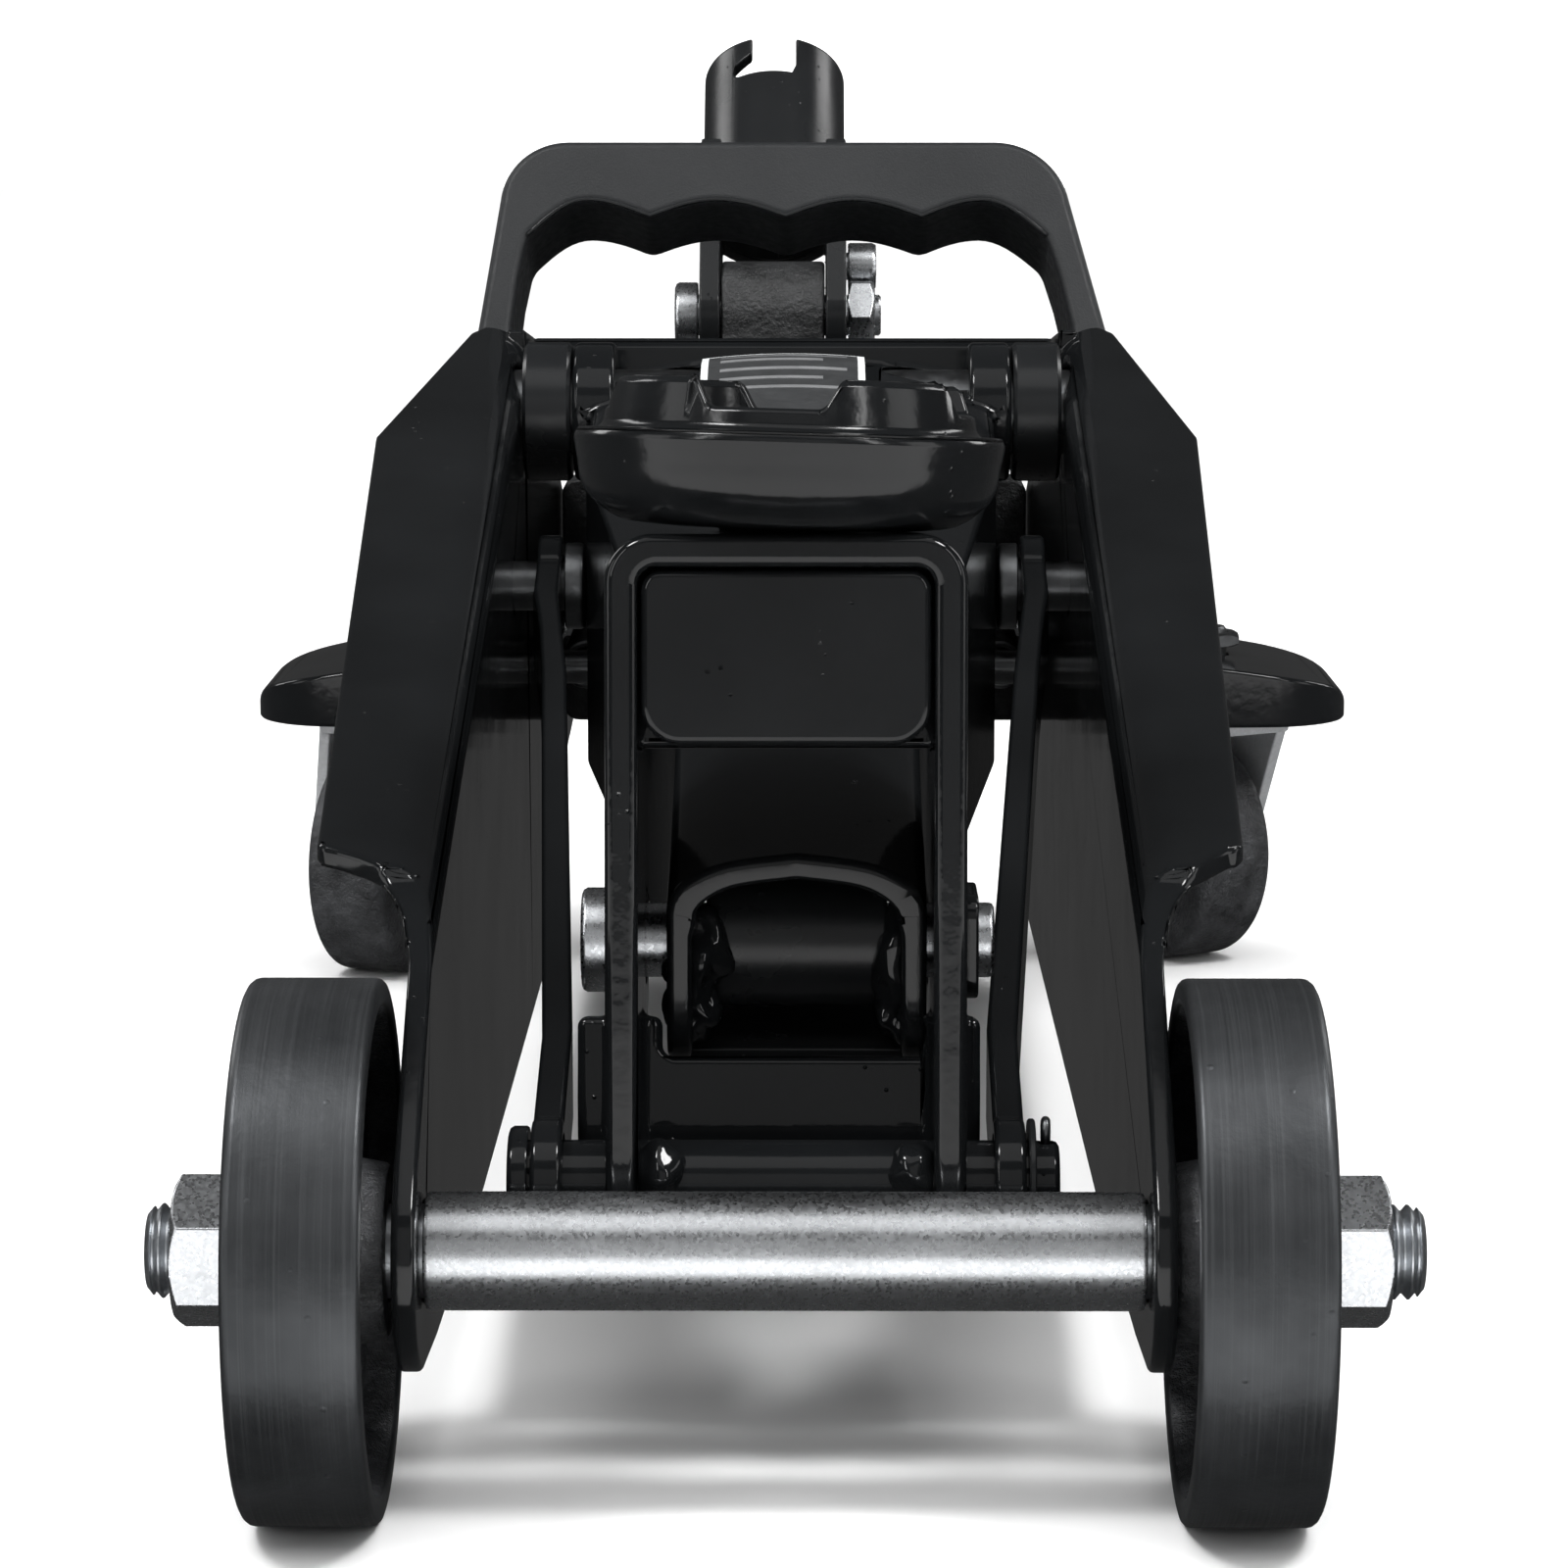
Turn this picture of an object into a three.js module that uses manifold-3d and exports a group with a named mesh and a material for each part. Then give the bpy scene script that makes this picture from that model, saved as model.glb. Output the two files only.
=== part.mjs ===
// Hydraulic floor jack with its saddle down. Millimetres, +Z up, +X to the right, +Y towards the handle socket.
// The drawing's own zero is on the ground under the middle of the front axle. The whole group is then moved
// along Y, so that the part's origin is the middle of its footprint, on the ground.
import * as THREE from "three";
import { mergeVertices } from "three/addons/utils/BufferGeometryUtils.js";
import Module from "manifold-3d";

const wasm = await Module();
wasm.setup();

// ---------------------------------------------------------------- driving dimensions
const ORIGIN_Y = 190.95; // middle of the footprint, from the front axle
const SHEET = 3.0; // side plate sheet
const WEB_IN = 45.0; // inner face of each side plate
const WEB_OUT = WEB_IN + SHEET;
const FLANGE_SLOPE = 0.28; // rise of the top flange along Y
const FLANGE_Z0 = 78.0; // top of the flange at Y = 35
const FLANGE_BEND = 4.0; // outer radius of the flange bend
const CREST = [235, 134]; // highest point of the side plates (Y, Z)

const WHEEL_R = 34.0, WHEEL_IN = 49.6, WHEEL_OUT = 66.2, WHEEL_SIDES = 32;
const AXLE = [0, 34], AXLE_R = 5.9, AXLE_HALF = 79.3;
const NUT_AF = 17.0, NUT_IN = 66.6, NUT_OUT = 75.4;
const WHEEL_SHIFT = -0.5; // both wheels and nuts sit a little to the left on the axle
const SPACER_R = 7.4, SPACER_BORE = 6.25;

// pivots (Y, Z)
const P0 = [225, 121]; // lift arm in the side plates
const P1 = [50, 64]; // lift arm in the saddle bracket
const P3 = [20, 38]; // radius links in the saddle bracket
const P2 = [P0[0] + P3[0] - P1[0], P0[1] + P3[1] - P1[1]]; // radius links in the side plates: a parallelogram
const LEVER = 55.0, LEVER_SWEEP = 33.5; // lever of the arm, and half of its swing in degrees
const RAM_PIN = [
  P0[0] + LEVER * Math.sin((LEVER_SWEEP * Math.PI) / 180),
  P0[1] - LEVER * Math.cos((LEVER_SWEEP * Math.PI) / 180),
];
const RAM_Z = 70.5; // height of the ram's axis
const BRACKET_TILT = -5; // degrees about X: the bracket leans back a little
const BRACKET_HALF = 23.0, BRACKET_SHEET = 4.2, BRACKET_TOP = 83.3;
const SADDLE_B = 10.7; // saddle's centre behind the lower shaft, in the bracket's own frame
const SADDLE_ROLL = 1.7; // the saddle sits a little loose in its hole

const SOCKET_X = -4.2, SOCKET_PIVOT = [365, 129], SOCKET_ELEVATION = 48;
const SOCKET_R = 14.1, SOCKET_BORE = 11.3, SOCKET_LENGTH = 60.4;
const KINGPIN = [80, 366], CASTER_R = 22.0, CASTER_TRAIL = 9.0, CASTER_HALF = 8.0;
const REAR_SHIFT = 1.6; // the casters sit a little to the right
const CASTER_TURN_LEFT = 17, CASTER_TURN_RIGHT = 30; // how far each caster stands turned
const HANDLE_LEAN = 22; // the carry handle leans back

// ---------------------------------------------------------------- materials
const mat = (color, roughness, metalness) => new THREE.MeshStandardMaterial({ color, roughness, metalness });
const PAINT = mat(0x16181a, 0.22, 0.1);
const ZINC = mat(0xb9bec2, 0.34, 0.9);
const IRON = mat(0x26282a, 0.55, 0.6);
const PLASTIC = mat(0x2b2d2f, 0.6, 0.0);
const STEEL = mat(0x5c6064, 0.35, 0.9);
const CHROME = mat(0xd7dadd, 0.12, 1.0);
const CAST = mat(0x1c1e20, 0.6, 0.4);

// ---------------------------------------------------------------- solids
function solidOf(geometry) {
  const g = geometry.index ? geometry.toNonIndexed() : geometry.clone();
  g.deleteAttribute("normal");
  g.deleteAttribute("uv");
  const m = mergeVertices(g, 1e-4);
  const vertProperties = new Float32Array(m.attributes.position.array);
  const triVerts = new Uint32Array(m.index.array);
  const make = () => new wasm.Manifold(new wasm.Mesh({ numProp: 3, vertProperties, triVerts }));
  let s = make();
  if (s.volume() < 0) {
    for (let i = 0; i < triVerts.length; i += 3) [triVerts[i + 1], triVerts[i + 2]] = [triVerts[i + 2], triVerts[i + 1]];
    s = make();
  }
  return s;
}
function geometryOf(s) {
  const m = s.getMesh(), n = m.numProp;
  const v = new Float32Array(m.numVert * 3);
  for (let i = 0; i < m.numVert; i++) v.set(m.vertProperties.subarray(i * n, i * n + 3), i * 3);
  const g = new THREE.BufferGeometry();
  g.setAttribute("position", new THREE.BufferAttribute(v, 3));
  g.setIndex(new THREE.BufferAttribute(new Uint32Array(m.triVerts), 1));
  const flat = g.toNonIndexed();
  flat.computeVertexNormals();
  return flat;
}
const S = (g) => (g.isBufferGeometry ? solidOf(g) : g);
const join = (first, ...rest) => rest.reduce((a, b) => a.add(S(b)), S(first));
const cut = (first, ...rest) => rest.reduce((a, b) => a.subtract(S(b)), S(first));
const common = (first, ...rest) => rest.reduce((a, b) => a.intersect(S(b)), S(first));

const rad = (d) => (d * Math.PI) / 180;
const box = (x0, x1, y0, y1, z0, z1) =>
  new THREE.BoxGeometry(x1 - x0, y1 - y0, z1 - z0).translate((x0 + x1) / 2, (y0 + y1) / 2, (z0 + z1) / 2);

// An outline extruded along one axis. plateX takes (y, z) points, plateY (x, z) points and plateZ (x, y) points.
function extrude(points, depth, holes = []) {
  const shape = new THREE.Shape(points.map((p) => new THREE.Vector2(p[0], p[1])));
  for (const h of holes) shape.holes.push(new THREE.Path(h.map((p) => new THREE.Vector2(p[0], p[1]))));
  return new THREE.ExtrudeGeometry(shape, { depth, bevelEnabled: false, steps: 1 });
}
const basis = (a, b, c) => new THREE.Matrix4().makeBasis(new THREE.Vector3(...a), new THREE.Vector3(...b), new THREE.Vector3(...c));
const plateX = (points, x0, x1, holes) =>
  extrude(points, x1 - x0, holes).applyMatrix4(basis([0, 1, 0], [0, 0, 1], [1, 0, 0])).translate(x0, 0, 0);
const plateY = (points, y0, y1, holes) =>
  extrude(points, y1 - y0, holes).applyMatrix4(basis([1, 0, 0], [0, 0, 1], [0, -1, 0])).translate(0, y1, 0);
const plateZ = (points, z0, z1, holes) => extrude(points, z1 - z0, holes).translate(0, 0, z0);

// Cylinders: along X, Y or Z, at the other two coordinates.
const sides = (n) => (n <= 8 ? n : Math.max(10, 2 * Math.round(n * 0.36)));
const rodX = (r, x0, x1, y, z, n = 20, turn = 0) =>
  new THREE.CylinderGeometry(r, r, x1 - x0, sides(n)).rotateY(turn).rotateZ(-Math.PI / 2).translate((x0 + x1) / 2, y, z);
const rodY = (r, y0, y1, x, z, n = 20) => new THREE.CylinderGeometry(r, r, y1 - y0, sides(n)).translate(x, (y0 + y1) / 2, z);
const rodZ = (r, z0, z1, x, y, n = 20) =>
  new THREE.CylinderGeometry(r, r, z1 - z0, sides(n)).rotateX(Math.PI / 2).translate(x, y, (z0 + z1) / 2);

// A lathe about its own Z from (r, z) points. A profile that starts and ends off the axis closes on itself.
function lathe(profile, n, turn = 0, exact = false) {
  const pts = profile.map((p) => new THREE.Vector2(p[0], p[1]));
  if (pts[0].x > 1e-6) pts.push(pts[0].clone());
  return new THREE.LatheGeometry(pts, exact ? n : sides(n), turn).rotateX(Math.PI / 2);
}
const latheX = (profile, n, y, z, turn = 0, exact = false) => lathe(profile, n, turn, exact).rotateY(Math.PI / 2).translate(0, y, z);
const mirrorX = (g) => g.clone().applyMatrix4(new THREE.Matrix4().makeScale(-1, 1, 1));

// Points of an arc, and an outline with its corners rounded.
const arc = (cx, cy, r, a0, a1, n) =>
  Array.from({ length: n + 1 }, (_, i) => {
    const a = rad(a0 + ((a1 - a0) * i) / n);
    return [cx + r * Math.cos(a), cy + r * Math.sin(a)];
  });
function rounded(points, radii, n = 4) {
  const out = [];
  points.forEach((p, i) => {
    const r = Array.isArray(radii) ? radii[i] : radii;
    if (!r) return out.push(p);
    const a = points[(i + points.length - 1) % points.length], b = points[(i + 1) % points.length];
    const u = [a[0] - p[0], a[1] - p[1]], v = [b[0] - p[0], b[1] - p[1]];
    const lu = Math.hypot(...u), lv = Math.hypot(...v);
    u[0] /= lu; u[1] /= lu; v[0] /= lv; v[1] /= lv;
    const half = Math.acos(u[0] * v[0] + u[1] * v[1]) / 2;
    const t = Math.min(r / Math.tan(half), lu * 0.49, lv * 0.49), rr = t * Math.tan(half);
    const m = [u[0] + v[0], u[1] + v[1]], lm = Math.hypot(...m);
    const c = [p[0] + (m[0] / lm) * (rr / Math.sin(half)), p[1] + (m[1] / lm) * (rr / Math.sin(half))];
    const s = [p[0] + u[0] * t, p[1] + u[1] * t], e = [p[0] + v[0] * t, p[1] + v[1] * t];
    let a0 = Math.atan2(s[1] - c[1], s[0] - c[0]), a1 = Math.atan2(e[1] - c[1], e[0] - c[0]);
    while (a1 - a0 > Math.PI) a1 -= 2 * Math.PI;
    while (a0 - a1 > Math.PI) a1 += 2 * Math.PI;
    for (let k = 0; k <= n; k++) {
      const q = a0 + ((a1 - a0) * k) / n;
      out.push([c[0] + rr * Math.cos(q), c[1] + rr * Math.sin(q)]);
    }
  });
  return out;
}
// A closed skin through convex loops of equal point count.
function loft(loops) {
  const n = loops[0].length, pos = [], idx = [];
  for (const l of loops) for (const p of l) pos.push(...p);
  for (let k = 0; k + 1 < loops.length; k++)
    for (let i = 0; i < n; i++) {
      const a = k * n + i, b = k * n + ((i + 1) % n), c = a + n, d = b + n;
      idx.push(a, b, d, a, d, c);
    }
  const last = (loops.length - 1) * n;
  for (let i = 1; i + 1 < n; i++) {
    idx.push(0, i + 1, i);
    idx.push(last, last + i, last + i + 1);
  }
  const g = new THREE.BufferGeometry();
  g.setAttribute("position", new THREE.Float32BufferAttribute(pos, 3));
  g.setIndex(idx);
  return g;
}
// A strap: two end circles and the common outer tangents between them, as an outline.
function strap(a, ra, b, rb, n = 8) {
  const d = [b[0] - a[0], b[1] - a[1]], len = Math.hypot(...d), base = (Math.atan2(d[1], d[0]) * 180) / Math.PI;
  const lean = (Math.acos((ra - rb) / len) * 180) / Math.PI;
  return [...arc(b[0], b[1], rb, base - lean, base + lean, n), ...arc(a[0], a[1], ra, base + lean, base + 360 - lean, n)];
}

// ---------------------------------------------------------------- scene graph
const jack = new THREE.Group();
jack.name = "hydraulic_floor_jack";
const frame = new THREE.Group(); // everything is drawn from the front axle, and moved back as one
frame.position.y = -ORIGIN_Y;
jack.add(frame);
function piece(name, shape, material, parent = frame) {
  const mesh = new THREE.Mesh(shape.isBufferGeometry ? geometryOf(solidOf(shape)) : geometryOf(shape), material);
  mesh.name = name;
  parent.add(mesh);
  return mesh;
}

// ---------------------------------------------------------------- side plates
const flangeTop = (y) => FLANGE_Z0 + FLANGE_SLOPE * (y - 35);
function sidePlate(k, frontX, rearX) {
  const dx = REAR_SHIFT * k;
  const B = FLANGE_BEND, i = B - SHEET;
  const section = [
    [WEB_IN, -125],
    ...arc(WEB_IN + B, -B, B, 180, 90, 4),
    [72, 0],
    [72, -SHEET],
    ...arc(WEB_IN + B, -B, i, 90, 180, 3),
    [WEB_OUT, -125],
  ];
  const shear = new THREE.Matrix4().set(1, 0, 0, 0, 0, 1, 0, 0, 0, FLANGE_SLOPE, 1, FLANGE_Z0 - FLANGE_SLOPE * 35, 0, 0, 0, 1);
  const lSection = plateY(section, -20, CREST[0] + 3).applyMatrix4(shear);
  // seen from the side: nose round the axle, sloping front edge, level lower edge
  const front = [
    ...arc(AXLE[0], AXLE[1], 15, 145, 270, 8),
    [20, 17.5], [95, 15], [CREST[0] + 2, 15], [CREST[0] + 2, 160], [29, 160], [29, 74], [19, 70], [6, 58], [-8, 47],
  ];
  // seen from above: the flange widens to the rear, and is cut off at an angle before the crest
  const plan = rounded(
    [[40, -20], [52, -20], [52, 30.5], [frontX, 38], [rearX, 186], [54.5, 234], [50, 240], [40, 240]],
    [0, 0, 0, 3, 3, 3, 0, 0], 3,
  );
  const forward = common(lSection, plateX(front, 40, 80), plateZ(plan, 0, 160));
  // behind the crest: a plain web whose top edge falls to the rear
  const rear = rounded(
    [[CREST[0] - 1, 15], [330, 15], [348, 42], [398, 46], [398, 80], [330, 104], [285, 121], [262, 131.2], [CREST[0] - 1, 134.1]],
    [0, 10, 8, 4, 10, 20, 20, 10, 0], 3,
  );
  // wing over the caster: an upturned tray with a rolled lip
  const top = [[46, 40], [107, 40], [107, 53.8], [104.6, 57], [99, 59.4], [84, 62], [60, 64.8], [46, 66.4]];
  const under = [[46, 30], [104, 30], [104, 53.6], [102.6, 55.2], [98, 56.4], [84, 58.9], [60, 61.7], [46, 63.3]];
  const outerPlan = rounded([[46.5, 337], [107, 341], [107, 392], [46.5, 398]], [0, 17, 17, 0], 5);
  const innerPlan = rounded([[40, 339.5], [104, 344], [104, 389], [40, 395.5]], [0, 14, 14, 0], 5);
  const tray = cut(
    common(plateY(top, 330, 402), plateZ(outerPlan, 50.8, 90)),
    common(plateY(under, 320, 410), plateZ(innerPlan, 20, 90)),
  );
  return cut(
    join(forward, plateX(rear, WEB_IN, WEB_OUT), cut(tray, box(30, WEB_OUT - 0.5, 300, 420, 30, 100))),
    rodX(AXLE_R + 0.4, 30, 60, ...AXLE, 20),
    rodX(7.4, 30, 60, ...P0, 20),
    rodX(4.4, 30, 60, ...P2, 16),
    rodX(3.4, 30, 60, 262, 121, 12),
    rodX(4.5, 30, 60, 345, RAM_Z, 16),
    rodZ(4.5, 40, 90, KINGPIN[0] + dx, KINGPIN[1], 16),
  );
}
piece("side_plate_right", sidePlate(1, 59.8, 64.9), PAINT);
piece("side_plate_left", mirrorX(geometryOf(sidePlate(-1, 61.6, 66.4))), PAINT);

// ---------------------------------------------------------------- front axle, nuts, wheels
const wheelSide = 1 / Math.cos(Math.PI / WHEEL_SIDES); // the flats, not the corners, lie on the tread circle
piece("front_axle",
  latheX([[0, -AXLE_HALF], [AXLE_R - 1, -AXLE_HALF], [AXLE_R, -AXLE_HALF + 1], [AXLE_R, AXLE_HALF - 1], [AXLE_R - 1, AXLE_HALF], [0, AXLE_HALF]], 20, ...AXLE),
  ZINC);
piece("axle_spacer_tube", cut(rodX(SPACER_R, -WEB_IN + 0.3, WEB_IN - 0.3, ...AXLE, 28), rodX(SPACER_BORE, -60, 60, ...AXLE, 20)), ZINC);
for (const [side, k] of [["left", -1], ["right", 1]]) {
  const hexR = NUT_AF / 2 / Math.cos(Math.PI / 6);
  const nut = cut(
    common(
      rodX(hexR, NUT_IN, NUT_OUT, ...AXLE, 6, Math.PI / 6),
      latheX([[0, NUT_IN], [hexR - 0.9, NUT_IN], [hexR + 0.1, NUT_IN + 0.7], [hexR + 0.1, NUT_OUT - 0.9], [hexR - 1.3, NUT_OUT], [0, NUT_OUT]], 24, ...AXLE),
    ),
    rodX(AXLE_R + 0.3, 60, 90, ...AXLE, 20),
  );
  const wheel = latheX(
    [
      [31.2, WHEEL_IN], [WHEEL_R, WHEEL_IN], [WHEEL_R, WHEEL_OUT], [31, WHEEL_OUT],
      [29.6, 62.4], [12, 61.6], [11, WHEEL_OUT], [6.4, WHEEL_OUT], [6.4, 48.8], [11, 48.8], [12.2, 54.6], [29.6, 54.2],
    ].map(([r, x]) => [r > 29 ? r * wheelSide : r, x]),
    WHEEL_SIDES, ...AXLE, Math.PI / WHEEL_SIDES, true,
  );
  const flip = (s) => (k < 0 ? mirrorX(geometryOf(S(s))) : geometryOf(S(s))).clone().translate(WHEEL_SHIFT, 0, 0);
  piece("axle_nut_" + side, flip(nut), ZINC);
  piece("front_wheel_" + side, flip(wheel), IRON);
}

// ---------------------------------------------------------------- lift arm
const armLine = (y) => P1[1] + ((P0[1] - P1[1]) / (P0[0] - P1[0])) * (y - P1[0]);
// one section of the arm: middle x0, half width, two shoulders (x, drop), drop at the side, rise over the pivots' line
function armLoop([y, x0, half, x1, d1, x2, d2, d3, rise], wall, roof, floor) {
  const z = armLine(y) + rise - roof, h = half - wall, a = x1 - wall * 0.2, b = x2 - wall * 0.6;
  return [[-h, floor], [h, floor], [h, z - d3], [b, z - d2], [a, z - d1], [0, z], [-a, z - d1], [-b, z - d2], [-h, z - d3]]
    .map(([x, v]) => [x + x0, y, v]);
}
const armStations = [
  [30, 1.3, 17.1, 9, 1.2, 14.6, 3.6, 8, 18], [92, 1.3, 17.1, 9, 1.0, 14.6, 3.0, 7, 17],
  [190, 0, 33, 14, 0.8, 25, 2.6, 7, 10.5], [225, 0, 33, 15, 0.6, 26, 2, 6, 8.3], [285, 0, 33, 15, 0.6, 26, 2, 6, -9.6],
];
const armOuter = loft(armStations.map((st) => armLoop(st, 0, 0, 0)));
const armInner = loft(armStations.map((st) => armLoop(st, st[0] > 150 ? 4 : 3.4, 3.4, -20)));
const lever = plateX(strap(P0, 15, RAM_PIN, 16, 8), -40, 40);
const armBeam = plateX(
  rounded([[38.6, 49.0], [36.4, 60], [37.4, 95], [120, 160], [236, 160], [237, 128], [238, 112], [214, 96], [196, 92], [120, 70.5]],
    [4, 0, 0, 0, 0, 0, 4, 10, 10, 20], 3),
  -40, 40);
const armShell = common(cut(armOuter, armInner), join(armBeam, lever));
const armCore = join(
  armShell,
  rodX(11.6, 29.4, 36.4, ...P0, 20), rodX(11.6, -36.4, -29.4, ...P0, 20),
);
piece("lift_arm",
  cut(armCore,
    rodX(7.4, -60, 60, ...P0, 20),
    rodX(5.4, -60, 60, ...P1, 16),
    rodX(5.3, -60, 60, ...RAM_PIN, 16)),
  PAINT);
piece("arm_cross_tube", cut(rodX(9, -10.7, 13.3, ...P1, 24), rodX(5.3, -30, 30, ...P1, 16)), PAINT);
piece("arm_pin",
  latheX([[0, -27.4], [6.4, -27.4], [7, -26.8], [7, -23.4], [5, -23.4], [5, 27.0], [4.4, 27.6], [0, 27.6]], 16, ...P1), ZINC);
piece("arm_pin_clip", cut(plateX(rounded([[42.5, 57], [57.5, 57], [57.5, 71], [42.5, 71]], 3, 2), 23.4, 25.4), rodX(5.3, 20, 30, ...P1, 16)), PAINT);
piece("ram_pin", latheX([[0, -34.2], [5, -34.2], [5, 34.2], [0, 34.2]], 16, ...RAM_PIN), STEEL);

// pivot of the arm in the side plates
piece("arm_pivot_pin", latheX([[0, -47.7], [6.2, -47.7], [7, -47], [7, 47], [6.2, 47.7], [0, 47.7]], 20, ...P0), STEEL);
for (const [side, k] of [["left", -1], ["right", 1]]) {
  const ring = cut(rodX(11.6, 36.8, 44.7, ...P0, 20), rodX(7.35, 20, 60, ...P0, 20));
  piece("arm_pivot_spacer_" + side, k < 0 ? mirrorX(geometryOf(ring)) : ring, STEEL);
}

// ---------------------------------------------------------------- saddle bracket, its own frame at the lower shaft
const bracketFrame = new THREE.Group();
bracketFrame.position.set(0, P3[0], P3[1]);
bracketFrame.rotation.x = rad(BRACKET_TILT);
frame.add(bracketFrame);
const tilt = rad(-BRACKET_TILT);
const toBracket = ([y, z]) => {
  const dy = y - P3[0], dz = z - P3[1];
  return [dy * Math.cos(tilt) - dz * Math.sin(tilt), dy * Math.sin(tilt) + dz * Math.cos(tilt)];
};
const Q1 = toBracket(P1);
{
  const H = BRACKET_HALF, t = BRACKET_SHEET, T = BRACKET_TOP;
  const outer = rounded([[-H, -20], [H, -20], [H, T], [-H, T]], [0, 0, 6.2, 6.2], 4);
  const inner = rounded([[-H + t, -30], [H - t, -30], [H - t, T - t], [-H + t, T - t]], [0, 0, 2.4, 2.4], 3);
  const side = [
    ...arc(0, 0, 7.6, 180, 290, 6), [Q1[0] + 8, Q1[1] - 10],
    ...arc(Q1[0], Q1[1], 12.5, -45, 40, 5), [33, 62], [33, 95], [-7.6, 95],
  ];
  const shell = common(cut(plateY(outer, -30, 60), plateY(inner, -40, 70)), plateX(side, -40, 40));
  const back = plateX([[11.5, -3], [14.3, -3], [14.3, 11.6], [11.5, 11.6]], -H + t - 0.5, H - t + 0.5);
  piece("saddle_bracket",
    cut(join(shell, back), rodX(5.75, -60, 60, 0, 0, 16), rodX(5.35, -60, 60, ...Q1, 16), rodZ(9.3, 60, 100, 0, SADDLE_B, 20)),
    PAINT, bracketFrame);
  const panel = rounded([[-18.4, 56.6], [18.4, 56.6], [18.4, 78.7], [-18.4, 78.7]], [5, 5, 2.6, 2.6], 3);
  piece("bracket_front_panel", plateY(panel, -6.8, -3.6), PAINT, bracketFrame);
  piece("lower_shaft",
    cut(latheX([[0, -35.6], [6.6, -35.6], [7.2, -35], [7.2, -33.0], [5.4, -33.0], [5.4, 34.4], [4.8, 35], [0, 35]], 16, 0, 0),
      rodZ(1.7, -10, 10, 33.3, 0, 10)),
    PAINT, bracketFrame);
  piece("shaft_washer", cut(rodX(8.2, 31.0, 31.9, 0, 0, 20), rodX(5.7, 20, 40, 0, 0, 16)), ZINC, bracketFrame);
  piece("cotter_pin", new THREE.CylinderGeometry(0.9, 1.3, 15, 10).rotateX(Math.PI / 2).translate(33.3, 0, 0.4), STEEL, bracketFrame);
}

// ---------------------------------------------------------------- saddle: turns freely on its stem
const saddleFrame = new THREE.Group();
saddleFrame.position.set(0, SADDLE_B, BRACKET_TOP);
saddleFrame.rotation.y = rad(SADDLE_ROLL);
bracketFrame.add(saddleFrame);
{
  const body = lathe(
    [
      [0, -13], [8.7, -13], [8.7, -9.5], [7.5, -9.5], [7.5, -6.8], [8.7, -6.8], [8.7, 0.45],
      [15, 0.45], [22.7, 1.9], [26.5, 5.8], [28, 11.2], [27.6, 12.6], [24.4, 12.8],
      [23.4, 18.4], [20.2, 18.4], [19.4, 9.4], [0, 9.4],
    ], 32, 0, true);
  const notchTurn = rad(7.5);
  const notch = (turn) =>
    plateY(rounded([[-9.6, 30], [-7.3, 14.6], [7.3, 14.6], [9.6, 30]], [0, 1.6, 1.6, 0], 2), -40, 40).rotateZ(turn);
  piece("saddle", cut(body, notch(-notchTurn), notch(-notchTurn + Math.PI / 2)), PAINT, saddleFrame);
  const ring = cut(lathe([[7.85, -9.0], [12.2, -9.0], [12.2, -7.3], [7.85, -7.3]], 20), box(-3, 3, 4, 20, -20, 0));
  piece("saddle_retaining_ring", ring, STEEL, saddleFrame);
}

// ---------------------------------------------------------------- radius links
for (const [side, k, x] of [["left", -1, 28.6], ["right", 1, 26.6]]) {
  const t = 4.0;
  const plan = [[x, 0], [x + t, 0], [x + t, 44], [41, 178], [41, 215], [37, 215], [37, 178], [x, 46]];
  const outline = strap(P3, 8.2, P2, 8.2, 8);
  const bar = strap(P3, 6.4, P2, 6.4, 6);
  const shape = common(plateZ(plan, 0, 140), join(plateX(bar, 10, 60), common(plateX(outline, 10, 60), join(rodX(8.2, 10, 60, ...P3, 20), rodX(8.2, 10, 60, ...P2, 20)))));
  const link = cut(shape, rodX(5.8, 10, 60, ...P3, 16), rodX(4.5, 10, 60, ...P2, 16));
  piece("radius_link_" + side, k < 0 ? mirrorX(geometryOf(link)) : link, PAINT);
  const bolt = latheX([[0, 33.4], [6.4, 33.4], [7, 34], [7, 36.6], [4, 36.6], [4, 48.4], [7.2, 48.4], [7.2, 52], [6.4, 52.8], [0, 52.8]], 16, ...P2);
  piece("link_pivot_bolt_" + side, k < 0 ? mirrorX(geometryOf(S(bolt))) : bolt, STEEL);
}

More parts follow.
